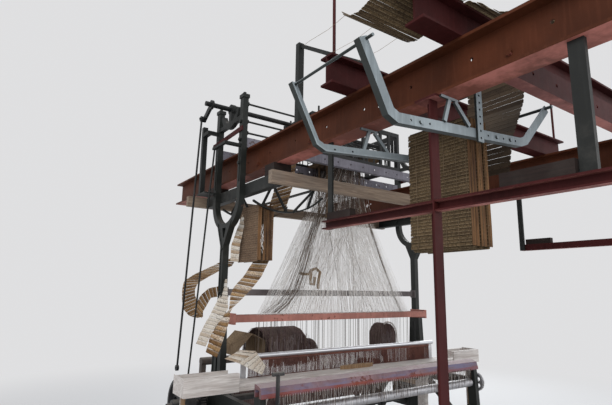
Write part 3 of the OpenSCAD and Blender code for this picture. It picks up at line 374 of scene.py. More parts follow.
def card_paper(name, pale, deep, white, edge_light_and_shade, holes=0.45, height=CARD_HEIGHT):
    """Pressed board with punched holes from a UV map in metres; the tone attribute shifts each card.
    A pale band at the low-V edge of each card is a painted highlight on the lit card edge; a dark band at the
    high-V edge is painted shade in the gap under the next card.
    """
    f = Finish(name)
    u = f.axis("X", uv=True)
    v = f.axis("Y", uv=True)
    across = (u / HOLE_PITCH).fraction() - 0.5
    along = (v / HOLE_PITCH).fraction() - 0.5
    hole = (across * across + along * along).step(0.10, 0.16)
    own = Value(f, f.node("ShaderNodeAttribute", {"attribute_name": "tone"}, {}).outputs["Fac"])
    column, line = (u / HOLE_PITCH).floor(), (v / HOLE_PITCH).floor()
    cell = f.node("ShaderNodeCombineXYZ", {}, {"X": column, "Y": line, "Z": own * 37.0})
    grid = f.node("ShaderNodeTexWhiteNoise", {"noise_dimensions": "3D"}, {"Vector": cell.outputs[0]})
    punched = (1 - hole) * (Value(f, grid.outputs["Value"]) < holes)
    wide = f.noise(5, 5, 0.65)
    fine = f.noise(90, 4, 0.6)
    body = own * 0.62 + (wide - 0.5) * 0.9 + (fine - 0.5) * 0.3
    tone = f.ramp(body, [(0.05, deep), (0.62, pale), (0.95, white)])
    rise = v / height
    # Painted highlight: a pale band along the low-V edge of each card, where its edge catches the light.
    tone = f.mix((1 - rise.step(0.12, 0.34)) * (0.6 * edge_light_and_shade), tone, white)
    # Painted shade: a dark band along the high-V edge of each card, in the gap under the next card.
    tone = f.mix(rise.step(0.66, 0.86) * edge_light_and_shade, tone, darker(deep, 0.35))
    tone = f.mix(punched * 0.85, tone, darker(deep, 0.18))
    tone = f.mix(f.upward().step(0.3, 1.0) * 0.3, tone, (0.50, 0.46, 0.40))
    f.surface(color=tone, roughness=0.85, specular=0.25, normal=f.bump(fine - punched, 0.3, 0.001))


def board_edges(name, pale, deep):
    """The edges of stacked board: long upright streaks."""
    f = Finish(name)
    streak = f.noise(70, 3, 0.6, stretch=(1, 1, 0.03))
    wide = f.noise(6, 4, 0.6)
    tone = f.ramp(streak * 0.65 + wide * 0.35, [(0.36, deep), (0.62, pale)])
    f.surface(color=tone, roughness=0.85, specular=0.2, normal=f.bump(streak, 0.4, 0.001))


# Geometry helpers

def new_piece(name, mesh, body="frame", finish=None, replaces=()):
    """A piece of the loom; a mesh that has no material of its own gets the finish."""
    made = new_object(name, mesh)
    if finish is not None:
        mesh.materials.clear()
        mesh.materials.append(FINISHES[finish])
    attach(made, body)
    if replaces:
        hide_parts(*replaces)


def run_tree(name, source, group, settings):
    """Runs a Geometry Nodes tree over a mesh, its inputs set by identifier, and returns the plain mesh."""
    holder = new_object(name + "_holder", source)
    modifier = holder.modifiers.new("tree", "NODES")
    modifier.node_group = group
    for item in group.interface.items_tree:
        if item.item_type == "SOCKET" and item.in_out == "INPUT" and item.name in settings:
            modifier[item.identifier] = settings[item.name]
    graph = bpy.context.evaluated_depsgraph_get()
    mesh = bpy.data.meshes.new_from_object(holder.evaluated_get(graph))
    mesh.name = name
    holder.modifiers.remove(modifier)
    bpy.data.objects.remove(holder)
    return mesh


class Tree(Graph):
    """A Geometry Nodes group with named inputs, the last of them its material."""

    def __init__(self, name, inputs):
        self.group = bpy.data.node_groups.new(name, "GeometryNodeTree")
        super().__init__(self.group)
        given = {"Geometry": ("Geometry", None), **inputs, "Material": ("Material", None)}
        for label, (kind, value) in given.items():
            socket = self.new_socket(label, "INPUT", kind)
            if value is not None:
                socket.default_value = value
        self.new_socket("Geometry", "OUTPUT", "Geometry")
        self.given = self.group.nodes.new("NodeGroupInput")
        self.result = self.group.nodes.new("NodeGroupOutput")

    def new_socket(self, label, side, kind):
        return self.group.interface.new_socket(label, in_out=side, socket_type="NodeSocket" + kind)

    def finish(self, geometry):
        """Ends the tree: real geometry in the material that the group was given."""
        real = self.node("GeometryNodeRealizeInstances", {}, {"Geometry": geometry}).outputs[0]
        values = {"Geometry": real, "Material": self.given.outputs["Material"]}
        self.feed(self.result.inputs[0], self.node("GeometryNodeSetMaterial", {}, values).outputs[0])


def strand_tree():
    """Lines become round cords: radius, sides, and a small seeded wander."""
    tree = Tree("cords_along_lines", {
        "Radius": ("Float", 0.0008),
        "Sides": ("Int", 3),
        "Wander": ("Float", 0.002),
        "Seed": ("Int", 7),
    })
    given = tree.given.outputs
    away = tree.node(
        "FunctionNodeRandomValue", {"data_type": "FLOAT_VECTOR"},
        {"Seed": given["Seed"], 0: (-1, -1, -0.2), 1: (1, 1, 0.2)},
    )
    spread = tree.node(
        "ShaderNodeVectorMath", {"operation": "SCALE"}, {0: away.outputs[0], "Scale": given["Wander"]}
    )
    moved = tree.node(
        "GeometryNodeSetPosition", {}, {"Geometry": given["Geometry"], "Offset": spread.outputs[0]}
    )
    curve = tree.node("GeometryNodeMeshToCurve", {}, {"Mesh": moved.outputs[0]})
    ring = tree.node(
        "GeometryNodeCurvePrimitiveCircle", {}, {"Resolution": given["Sides"], "Radius": given["Radius"]}
    )
    tube = tree.node("GeometryNodeCurveToMesh", {}, {
        "Curve": curve.outputs[0], "Profile Curve": ring.outputs[0], "Fill Caps": True,
    })
    tree.finish(tube.outputs[0])
    return tree.group


def lines_mesh(name, lines):
    """A mesh of separate poly-lines."""
    points, edges = [], []
    for line in lines:
        first = len(points)
        points += [tuple(p) for p in line]
        edges += [(first + i, first + i + 1) for i in range(len(line) - 1)]
    mesh = bpy.data.meshes.new(name)
    mesh.from_pydata(points, edges, [])
    return mesh


def strands(name, lines, finish, radius, wander=0.0, sides=3, body="frame", replaces=()):
    """One piece of round strands along lines; its slot is its finish."""
    mesh = run_tree(name, lines_mesh(name + "_lines", lines), STRANDS, {
        "Radius": radius, "Sides": sides, "Wander": wander, "Material": FINISHES[finish],
    })
    for polygon in mesh.polygons:
        polygon.use_smooth = True
    new_piece(name, mesh, body, replaces=replaces)


STRANDS = strand_tree()
set_the_stage()

# The loom's finishes, one for each material slot and a few more

DUST = (0.36, 0.33, 0.29)
DOWN = (0, 0, -1)
FRONT = (0, -1, 0)
ANY_HEIGHT = 9.0

painted_iron(
    "frame_iron", (0.011, 0.014, 0.012), (0.12, 0.06, 0.04), DUST,
    chips=0.62, dusting=0.22, gloss=0.42, sheen=0.35,
)
painted_iron("dark_steel", (0.016, 0.018, 0.017), (0.12, 0.07, 0.05), DUST, chips=0.63, dusting=0.35)
painted_iron(
    "girder_red", (0.092, 0.027, 0.012), (0.06, 0.025, 0.016), (0.05, 0.028, 0.024),
    chips=0.66, dusting=0.6, shade=0.62, sides=(((0.44, 0.16, 0.13), DOWN, 2.6, 0.25),), sheen=0.12,
)
painted_iron(
    "rail_red", (0.062, 0.012, 0.012), (0.05, 0.02, 0.018), (0.07, 0.035, 0.03),
    chips=0.66, dusting=0.5, sides=(((0.38, 0.15, 0.13), DOWN, 2.66, 0.3),), sheen=0.12,
)
painted_iron(
    "breast_paint", (0.27, 0.155, 0.165), (0.20, 0.06, 0.04), (0.62, 0.56, 0.57),
    chips=0.54, dusting=0.6, sides=(
        ((0.17, 0.15, 0.235), FRONT, ANY_HEIGHT, -0.05), ((0.24, 0.055, 0.035), (0, -1, -0.3), 0.935, 0.5),
    ),
)
painted_iron(
    "stretcher_grey", (0.16, 0.14, 0.14), (0.20, 0.10, 0.07), DUST, chips=0.58, dusting=0.5
)
painted_iron(
    "comber_paint", (0.46, 0.19, 0.15), (0.20, 0.08, 0.06), (0.50, 0.40, 0.37),
    chips=0.57, dusting=0.4,
)
old_wood("plank_wood", (0.35, 0.27, 0.20), (0.13, 0.092, 0.07), weathered=0.4)
old_wood("block_wood", (0.026, 0.015, 0.013), (0.011, 0.007, 0.006), along=(0, 1, 0), weathered=0.1)
painted_iron(
    "machine_rail_paint", (0.23, 0.22, 0.26), (0.12, 0.08, 0.075), (0.42, 0.40, 0.42),
    chips=0.56, dusting=0.5,
)
# The near-black side colour on the faces that look towards -X and down is painted shade.
painted_iron(
    "cradle_paint", (0.36, 0.42, 0.45), (0.10, 0.09, 0.085), (0.52, 0.56, 0.59),
    chips=0.61, dusting=0.75, shade=0.62,
    sides=(((0.020, 0.024, 0.022), (-0.80, 0, -0.60), ANY_HEIGHT, 0.95),),
)
card_paper(
    "card_near", (0.21, 0.145, 0.075), (0.075, 0.048, 0.026), (0.40, 0.31, 0.19), 0.55,
    height=STACK_CARD_HEIGHT,
)
card_paper(
    "card_left", (0.27, 0.18, 0.115), (0.12, 0.075, 0.048), (0.42, 0.33, 0.24), 0.4, height=STACK_CARD_HEIGHT
)
card_paper("card_loose", (0.42, 0.26, 0.12), (0.13, 0.065, 0.025), (0.80, 0.76, 0.70), 0.35)
card_paper("card_white", (0.66, 0.61, 0.53), (0.34, 0.22, 0.12), (0.86, 0.84, 0.81), 0.3, holes=0.12)
card_paper(
    "card_dark", (0.085, 0.058, 0.036), (0.035, 0.023, 0.015), (0.16, 0.12, 0.08), 0.12, holes=0.1
)
board_edges("board_edges", (0.27, 0.145, 0.066), (0.055, 0.030, 0.020))
painted_iron(
    "head_iron", (0.010, 0.011, 0.012), (0.08, 0.05, 0.04), DUST, chips=0.63, dusting=0.25, gloss=0.38
)
old_wood("head_wood", (0.20, 0.13, 0.075), (0.08, 0.05, 0.03), along=(0, 1, 0))
bare_metal("wire", (0.07, 0.06, 0.055), (0.03, 0.022, 0.018), 0.45, 0.45)
thread("cord", (0.97, 0.96, 0.94), (0.66, 0.61, 0.57))
thread("cord_brown", (0.22, 0.17, 0.13), (0.08, 0.06, 0.05))
thread("flap", (0.34, 0.25, 0.16), (0.12, 0.08, 0.05))
thread("stray", (0.42, 0.36, 0.36), (0.20, 0.15, 0.15))
thread("white_thread", (0.86, 0.83, 0.80), (0.55, 0.50, 0.46))
thread("cord_dark", (0.20, 0.15, 0.12), (0.06, 0.045, 0.04))
bare_metal("lingo_iron", (0.10, 0.08, 0.075), (0.05, 0.035, 0.03), 0.5, 0.4)
thread("yarn", (0.20, 0.135, 0.125), (0.035, 0.022, 0.022))
old_wood("sley_wood", (0.80, 0.77, 0.74), (0.42, 0.365, 0.335), weathered=0.2, gloss=0.5)
bare_metal("cap_steel", (0.62, 0.63, 0.66), (0.24, 0.20, 0.19), 0.3, 0.55)
bare_metal("reed_wire", (0.16, 0.07, 0.055), (0.09, 0.035, 0.028), 0.5, 0.45)
old_wood("stick_wood", (0.36, 0.24, 0.14), (0.17, 0.10, 0.05), along=(0, 0, 1), gloss=0.45)
painted_iron(
    "drive_iron", (0.050, 0.050, 0.052), (0.13, 0.08, 0.05), DUST, chips=0.60, dusting=0.5, gloss=0.4
)
bare_metal("roller_steel", (0.42, 0.42, 0.44), (0.16, 0.13, 0.12), 0.4, 0.5)
thread("cloth", (0.58, 0.54, 0.48), (0.36, 0.31, 0.26))
painted_iron("beam_iron", (0.095, 0.075, 0.065), (0.16, 0.08, 0.05), DUST, chips=0.58, dusting=0.5)

for part in frame["record"]["subparts"]:
    mesh = nodes[part["node"]].data
    mesh.materials.clear()
    mesh.materials.append(FINISHES[part["material_slot"]])

# Harness, in the drawing's millimetres

COMBER_Z = 1340
NECK_Z = 2240
HOOK_FOOT_Z = 2706
HOOK_BOARD_TOP = 2725
GRIFFE_Z = 2985
HEAD_BAR_TOP = 2800
HARNESS_Y = -112
COMBER_SPAN = (-850, 870)
NECK_SPAN = (-330, 440)
HOOK_SPAN = (-125, 210)


def within(span, share):
    """The X that lies at a share of the way along a span."""
    return span[0] + (span[1] - span[0]) * share


def harness():
    """The dense fan: cords rise from the comber board to the neck and on to the hooks; repeats cross."""
    pick = random.Random(11)
    rows, columns = 8, 92
    fan, necks, drops, weights = [], [], [], []
    for row in range(rows):
        for column in range(columns):
            if pick.random() < 0.10:
                continue
            share = (column + 0.5 * (row % 2)) / (columns - 0.5)
            x = within(COMBER_SPAN, share) + pick.uniform(-5, 5)
            y = HARNESS_Y - 32 + 64 * row / (rows - 1)
            kept = share
            if pick.random() >= 0.65:
                kept = 0.7 * share + 0.3 * ((share * 5) % 1) + pick.uniform(-0.04, 0.04)
                kept = min(1, max(0, kept))
            knot_x = within(NECK_SPAN, kept) + pick.uniform(-5, 5)
            knot_y = -80 + 110 * row / (rows - 1) + pick.uniform(-2, 2)
            low, high = route((x, y, COMBER_Z + 20), (knot_x, knot_y, NECK_Z))
            slack = pick.uniform(0.0, 0.008) if pick.random() < 0.8 else pick.uniform(0.01, 0.05)
            fan.append(hung(low, high, slack, 1 if share > 0.5 else -1))
            if pick.random() < 0.75:
                hook = (within(HOOK_SPAN, kept), -190 + 350 * row / (rows - 1), HOOK_FOOT_Z)
                necks.append(route((knot_x, knot_y, NECK_Z), hook))
            foot = pick.uniform(960, 1010)
            if pick.random() < 0.20:
                drops.append(route((x, y, COMBER_Z + 18), (x, y, foot)))
                end = (x + pick.uniform(-2, 2), y, foot - 200 - pick.uniform(0, 30))
                weights.append(route((x, y, foot), end))
    return fan, necks, drops, weights


def hung(low, high, slack, side):
    """A cord between two places that sags by its slack and bellies out to one side."""
    line = []
    for i in range(7):
        t = i / 6
        p = low.lerp(high, t)
        p.z -= slack * 4 * t * (1 - t)
        p.x -= slack * 2.2 * t * (1 - t) * side
        line.append(p)
    return line


def brown_cords():
    """Older brown cords bunched at both sides of the fan, and a few that cross it."""
    pick = random.Random(17)
    left = (
        (-225, 2330), (-275, 2180), (-345, 2020), (-420, 1800), (-500, 1594), (-598, 1480), (-705, 1402),
    )
    for _ in range(34):
        shift = pick.gauss(0, 1) * 34
        y = pick.uniform(-140, -80)
        yield [
            place(a + shift * (0.35 + (2249 - z) / 1000) + pick.uniform(-5, 5), y, z) for a, z in left
        ]
    right = ((350, 2300), (440, 2090), (560, 1830), (700, 1540), (800, 1375))
    for _ in range(14):
        shift = pick.gauss(0, 1) * 7
        yield [place(a + shift + pick.uniform(-3, 3), -90, z) for a, z in right]
    for _ in range(14):
        high, low = pick.uniform(-250, 340), pick.uniform(-700, 760)
        middle = ((high + low) / 2 + pick.uniform(-20, 20), -90, 1800)
        yield route((high, -60, NECK_Z), middle, (low, -105, COMBER_Z + 22))


def hook_wires():
    """The rest of the wire hooks between the hook board and the griffe, some of them bent out of line."""
    pick = random.Random(29)
    columns, rows = 34, 8
    for column in range(columns):
        for row in range(rows):
            x = -128 + 338 * column / (columns - 1)
            y = -182 + 330 * row / (rows - 1) + pick.uniform(-4, 4)
            bend = pick.uniform(-3, 3) if pick.random() < 0.9 else pick.uniform(-16, 16)
            top = GRIFFE_Z + pick.uniform(-40, 10)
            bent = (x + bend, y, HOOK_BOARD_TOP + (top - HOOK_BOARD_TOP) * 0.6)
            yield route((x, y, HOOK_BOARD_TOP), bent, (x + bend * 0.3, y, top))
            if pick.random() < 0.5:
                end = (x + pick.uniform(-3, 3), y, HOOK_FOOT_Z - pick.uniform(25, 70))
                yield route((x, y, HOOK_FOOT_Z), end)


def head_studs():
    """Studs, links and stay rods that stand about on the long bars of the head."""
    pick = random.Random(41)
    for y in (-248, 218):
        for i in range(30):
            x, tall = pick.uniform(-330, 600), pick.uniform(50, 150)
            lean = pick.uniform(-22, 22)
            tip = (x + lean, y, HEAD_BAR_TOP + tall)
            middle = (x + lean * 0.3, y, HEAD_BAR_TOP + tall * 0.5)
            yield route((x, y, HEAD_BAR_TOP - 4), middle, tip)
            if i % 3 == 0:
                reach = pick.choice((-1, 1)) * pick.uniform(50, 130)
                link_end = (x + lean + reach, y, HEAD_BAR_TOP + tall + pick.uniform(-40, 30))
                yield route(tip, link_end)
        for low, high in ((2846, 2868), (2912, 2896)):
            yield route((-366, y, low), (640, y, high))


def strap():
    """A broken leather strap caught on the cords above the stretcher."""
    outer = (
        (-438, 1730), (-400, 1722), (-343, 1724), (-322, 1759), (-269, 1776), (-225, 1745), (-240, 1676),
        (-245, 1600),
    )
    inner = ((-322, 1755), (-327, 1691), (-326, 1640), (-288, 1636), (-279, 1700))
    return [[place(x, -100, z) for x, z in line] for line in (outer, inner)]


def make_harness():
    fan, necks, drops, weights = harness()
    brown_necks = [line for i, line in enumerate(necks) if i % 7]
    strands("harness_fan", fan, "cord", 0.0009, wander=0.002, replaces=("harness_cords",))
    strands("neck_cords", necks[::7], "cord", 0.0010)
    strands("neck_cords_brown", brown_necks, "cord_dark", 0.0011)
    strands("hook_wires", hook_wires(), "wire", 0.0013, wander=0.001)
    strands("brown_cords", brown_cords(), "cord_brown", 0.0013, wander=0.003)
    strands("head_studs", head_studs(), "head_iron", 0.0055, sides=6)
    strands("strap", strap(), "flap", 0.013, sides=6)
    strands("heddle_drops", drops, "cord_dark", 0.0013, replaces=("heddles",))
    strands("lingo_wires", weights, "lingo_iron", 0.0018, replaces=("lingoes",))


make_harness()

# Cards: their own sizes are in metres, the routes they follow in the drawing's millimetres

CARD_PITCH = 0.0345
CARD_THICK = 0.0016
STACK_PITCH = 0.0175
STACK_TILT = -0.13


def board_mesh(name, points, faces, spots):
    """A mesh whose UV map gives each point its spot on the card, in metres."""
    mesh = bpy.data.meshes.new(name)
    mesh.from_pydata(points, [], faces)
    layer = mesh.uv_layers.new(name="UVMap")
    for loop in mesh.loops:
        layer.data[loop.index].uv = spots[loop.vertex_index]
    return mesh


def card_template(name, length, height):
    """One card lying flat with trimmed corners, its UV map in metres."""
    cut = min(0.006, height / 5)
    half_l, half_h = length / 2, height / 2
    outline = [
        (-half_l + cut, -half_h), (half_l - cut, -half_h), (half_l, -half_h + cut), (half_l, half_h - cut),
        (half_l - cut, half_h), (-half_l + cut, half_h), (-half_l, half_h - cut), (-half_l, -half_h + cut),
    ]
    points = [(x, y, z) for z in (-CARD_THICK / 2, CARD_THICK / 2) for x, y in outline]
    faces = [tuple(range(7, -1, -1)), tuple(range(8, 16))]
    faces += [(i, (i + 1) % 8, (i + 1) % 8 + 8, i + 8) for i in range(8)]
    spots = [(x + half_l, y + half_h) for x, y, _ in points]
    return new_object(name, board_mesh(name, points, faces, spots))


def card_tree():
    """Points that carry a turn and a tone become cards, each tilted a little by a seeded amount."""
    tree = Tree("cards_on_points", {
        "Card": ("Object", None),
        "Tilt": ("Float", 0.1),
        "Skew": ("Float", 0.02),
        "Seed": ("Int", 3),
    })
    given = tree.given.outputs
    info = tree.node("GeometryNodeObjectInfo", {}, {"Object": given["Card"]})
    turn = tree.node("GeometryNodeInputNamedAttribute", {"data_type": "FLOAT_VECTOR"}, {"Name": "turn"})
    placed = tree.node("GeometryNodeInstanceOnPoints", {}, {
        "Points": given["Geometry"], "Instance": info.outputs["Geometry"],
        "Rotation": turn.outputs["Attribute"],
    })
    limits = tree.node(
        "ShaderNodeCombineXYZ", {}, {"X": given["Tilt"], "Y": given["Skew"], "Z": given["Skew"]}
    )
    lower = tree.node("ShaderNodeVectorMath", {"operation": "SCALE"}, {0: limits.outputs[0], "Scale": -1.0})
    chance = tree.node(
        "FunctionNodeRandomValue", {"data_type": "FLOAT_VECTOR"},
        {"Seed": given["Seed"], 0: lower.outputs[0], 1: limits.outputs[0]},
    )
    tipped = tree.node(
        "GeometryNodeRotateInstances", {}, {"Instances": placed.outputs[0], "Rotation": chance.outputs[0]}
    )
    tree.finish(tipped.outputs[0])
    return tree.group


CARDS = card_tree()


def cards_mesh(name, spots, template, finish, tilt, skew, seed):
    """Cards at spots of (place, turn, tone), in a finish given by name."""
    mesh = bpy.data.meshes.new(name + "_spots")
    mesh.from_pydata([tuple(spot[0]) for spot in spots], [], [])
    turns = [angle for spot in spots for angle in spot[1]]
    mesh.attributes.new("turn", "FLOAT_VECTOR", "POINT").data.foreach_set("vector", turns)
    mesh.attributes.new("tone", "FLOAT", "POINT").data.foreach_set("value", [spot[2] for spot in spots])
    return run_tree(name, mesh, CARDS, {
        "Card": template, "Tilt": tilt, "Skew": skew, "Seed": seed, "Material": FINISHES[finish],
    })


def along_path(path, pitch):
    """Evenly spaced points on a line of (a, z) pairs in millimetres, with the line's direction."""
    step = pitch * 1000
    wait = step / 2
    for (a0, z0), (a1, z1) in zip(path, path[1:]):
        length = math.hypot(a1 - a0, z1 - z0)
        way = ((a1 - a0) / length, (z1 - z0) / length)
        while wait <= length:
            yield (a0 + way[0] * wait, z0 + way[1] * wait), way
            wait += step
        wait -= length


def card_turn(wide, run):
    """The turn of a card whose length lies along wide and whose height lies along run."""
    return Matrix((wide, run, wide.cross(run))).transposed().to_euler()


def run_of_cards(path, middle, pick, across="y", pitch=CARD_PITCH, tones=(0.2, 0.9)):
    """Spots of the cards of one run; its cards lie across Y or across X."""
    spots = []
    for i, ((a, z), way) in enumerate(along_path(path, pitch)):
        if across == "y":
            wide, run, spot = Vector((0, 1, 0)), Vector((way[0], 0, way[1])), place(a, middle, z)
        else:
            wide, run, spot = Vector((1, 0, 0)), Vector((0, way[0], way[1])), place(middle, a, z)
        spots.append((spot, card_turn(wide, run), tones[i % 2] + pick.uniform(-0.2, 0.2)))
    return spots


def lacing(path, middle, half_width):
    """Laces that join the cards of a run, three side by side, each going from face to face."""
    for share in (-0.86, 0.0, 0.86):
        lace = []
        for i, ((a, z), way) in enumerate(along_path(path, CARD_PITCH / 2)):
            lift = 2.6 if i % 2 else -2.6
            lace.append(place(a - way[1] * lift, middle + share * half_width, z + way[0] * lift))
        yield lace


def joined_piece(name, meshes, finish, body="frame", replaces=()):
    """One piece from several meshes, in a single finish."""
    whole = bmesh.new()
    for mesh in meshes:
        whole.from_mesh(mesh)
    for face in whole.faces:
        face.material_index = 0
    made = bpy.data.meshes.new(name)
    whole.to_mesh(made)
    whole.free()
    new_piece(name, made, body, finish, replaces)


def point_at(line, share):
    """The point of a line that lies at a share of its length."""
    ends = [0.0]
    for p, q in zip(line, line[1:]):
        ends.append(ends[-1] + math.dist(p, q))
    ends = [end / ends[-1] for end in ends]
    for i in range(len(line) - 1):
        if share <= ends[i + 1] or i == len(line) - 2:
            t = (share - ends[i]) / (ends[i + 1] - ends[i])
            return Vector(line[i]).lerp(Vector(line[i + 1]), t)


def ribbon(name, edge_a, edge_b, count, pick, tones):
    """A run of cards between two edge lines in millimetres, one card to each step."""
    points, faces, spots, tone = [], [], [], []
    half_thick = CARD_THICK * 1000 / 2
    for i in range(count):
        low, high = (i + 0.04) / count, (i + 0.98) / count
        ends = ((edge_a, low), (edge_b, low), (edge_b, high), (edge_a, high))
        corners = [point_at(edge, share) for edge, share in ends]
        normal = (corners[1] - corners[0]).cross(corners[3] - corners[0]).normalized()
        tip = pick.uniform(-5, 5)
        for k in (0, 1):
            corners[k] += normal * tip
        first = len(points)
        for side in (-half_thick, half_thick):
            points += [place(*(c + normal * side)) for c in corners]
        faces += [tuple(first + k for k in face) for face in (
            (3, 2, 1, 0), (4, 5, 6, 7), (0, 1, 5, 4), (1, 2, 6, 5), (2, 3, 7, 6), (3, 0, 4, 7)
        )]
        wide = (corners[1] - corners[0]).length / 1000
        spots += [(0, 0.0), (wide, 0.0), (wide, CARD_HEIGHT), (0, CARD_HEIGHT)] * 2
        tone += [tones[i % 2] + pick.uniform(-0.2, 0.2)] * 8
    mesh = board_mesh(name, points, faces, spots)
    mesh.attributes.new("tone", "FLOAT", "POINT").data.foreach_set("value", tone)
    return mesh


def hanging_panels(columns, low, high, middle, tone, pick):
    """Folded panels side by side, each a column of shingled cards; they lean a little and end unevenly."""
    cos, sin = math.cos(STACK_TILT), math.sin(STACK_TILT)
    spots = []
    for x in columns:
        lean = pick.uniform(-0.010, 0.010)
        foot = low + pick.uniform(0, 22)
        path = [(x + lean * (high - foot) * 0.5, foot), (x - lean * (high - foot) * 0.2, high)]
        shift = pick.uniform(-3, 3)
        for (a, z), way in along_path(path, STACK_PITCH):
            up = Vector((way[0] * cos - way[1] * sin, 0, way[1] * cos + way[0] * sin))
            turn = card_turn(Vector((0, 1, 0)), up)
            spots.append((place(a, middle + shift, z), turn, tone + pick.uniform(-0.12, 0.12)))
    return spots


def board_ends(columns, gap, low, high, y, pick):
    """Upright lines of board edges at the open end of a stack, three to each column."""
    for x in columns:
        for at in (x - gap, x, x + gap):
            lean = pick.uniform(-4, 4)
            line = []
            for i in range(7):
                t = i / 6
                bent = at + lean * t + pick.uniform(-0.7, 0.7)
                line.append(place(bent, y + pick.uniform(-1, 1), low + (high - low) * t))
            yield line


# Routes of the card runs: (x, z) over the cylinder and behind the near stack, (y, z) above the girder

OVER_CYLINDER = [
    (-440, 2960.3), (-504, 2960.3), (-545.5, 2919), (-545.5, 2880), (-548, 2700), (-585, 2450), (-645, 2262),
    (-684, 2212)
]
RISING = [
    (-395, 2230), (-380, 2300), (-341, 2437), (-205, 2674), (-171, 2800), (-171, 2872), (-164, 2879),
    (-156, 2879), (-149, 2872), (-149, 2790)
]
HAMMOCK = [
    (-1872, 2868), (-1888, 2845), (-1925, 2818), (-1985, 2802), (-2045, 2812), (-2095, 2840),
    (-2142, 2862.4), (-2290, 2862.4)
]
GIRDER_HEAP = [
    (-2140, 2862.4), (-2262, 2862.4), (-2320, 2820), (-2400, 2740), (-2470, 2704), (-2560, 2692.6),
    (-2830, 2692.6)
]

# Two edge lines each for the loops and strips that hang at the left and the cards fallen on the sley

LOOP = (
    [(-735, 400, 2200), (-765, 400, 2100), (-812, 400, 1960), (-862, 390, 1849), (-966, 370, 1818),
     (-1066, 360, 1770), (-1197, 360, 1706), (-1290, 360, 1646), (-1300, 360, 1572), (-1296, 360, 1492),
     (-1280, 360, 1419), (-1226, 360, 1362), (-1155, 360, 1345)],
    [(-735, 318, 2200), (-765, 318, 2080), (-812, 318, 1920), (-878, 320, 1785), (-981, 320, 1747),
     (-1079, 320, 1692), (-1182, 320, 1632), (-1205, 320, 1582), (-1201, 320, 1525), (-1172, 320, 1484),
     (-1145, 320, 1460), (-1125, 320, 1419), (-1120, 320, 1356)],
)
TAIL = (
    [(-974, 330, 1610), (-1076, 330, 1592), (-1140, 330, 1539), (-1172, 330, 1493), (-1183, 330, 1397)],
    [(-974, 305, 1527), (-1067, 305, 1510), (-1107, 305, 1437), (-1131, 305, 1397), (-1135, 305, 1345)],
)
FALLING = (
    [(-866, -310, 1812), (-929, -310, 1685), (-1011, -310, 1591), (-1093, -310, 1514), (-1170, -310, 1448),
     (-1181, -310, 1355), (-1210, -310, 1270), (-1227, -310, 1210), (-1261, -310, 1120)],
    [(-955, -230, 1812), (-1038, -230, 1683), (-1109, -230, 1614), (-1142, -230, 1549), (-1156, -250, 1444),
     (-1200, -240, 1386), (-1236, -235, 1333), (-1281, -230, 1265), (-1311, -230, 1150)],
)
WHITE_STRIP = (
    [(-1094, -10, 1665), (-1115, -10, 1564), (-1152, -10, 1487), (-1199, -10, 1392), (-1250, -10, 1300),
     (-1300, -10, 1184)],
    [(-1106, -80, 1664), (-1100, -90, 1547), (-1092, -95, 1442), (-1140, -95, 1367), (-1197, -95, 1295),
     (-1260, -95, 1170)],
)
BEHIND = (
    [(-982, -60, 2190), (-1037, -60, 2038), (-1075, -60, 1923), (-1075, -60, 1804)],
    [(-975, -100, 2186), (-995, -100, 2037), (-1017, -100, 1932), (-1024, -100, 1797)],
)
FALLEN = (
    ([(-1225, -360, 1116), (-1080, -300, 1159)], [(-1105, -360, 1074), (-945, -300, 1144)]),
    ([(-983, -365, 1148), (-901, -365, 1046)], [(-1126, -375, 1083), (-932, -375, 987)]),
)

# Middles of the runs: along Y for the stacks and the cylinder, along X above the girder

NEAR_STACK_Y = -1841
LEFT_STACK_Y = -185
CYLINDER_Y = -20
HAMMOCK_X = -1231
HEAP_X = -910
LACE_REACH = 169


def make_stacks(fine, small, pick):
    """The two card stacks, the board edges at their open ends and torn scraps on the left one."""
    columns = [-748.5 + 11.6 * i for i in range(14) if i not in (5, 10)]
    near = hanging_panels(columns, 1800, 2466, NEAR_STACK_Y, 0.42, pick)
    mesh = cards_mesh("cards_near", near, fine, "card_near", 0.03, 0.008, 4)
    new_piece("cards_near", mesh, replaces=("card_stack_near",))
    ends = list(board_ends(columns, 3.4, 1815, 2462, -2035, pick))
    columns = [-987, -977, -967] + [-938 + 10.5 * i for i in range(8)]
    left = hanging_panels(columns, 1796, 2232, LEFT_STACK_Y, 0.5, pick)
    mesh = cards_mesh("cards_left", left, small, "card_left", 0.03, 0.010, 6)
    new_piece("cards_left", mesh, replaces=("card_stack_left",))
    ends += board_ends(columns, 3, 1806, 2230, -345, pick)
    strands("card_ends", ends, "board_edges", 0.0019, sides=4)
    torn = []
    for _ in range(26):
        x, z = -955 + pick.uniform(-8, 8), 1880 + 200 * pick.random()
        torn.append(route(
            (x, -343, z), (x + pick.uniform(-12, 10), -347, z - 14), (x + pick.uniform(-10, 14), -345, z - 30)
        ))
    strands("torn_bits", torn, "white_thread", 0.0022)


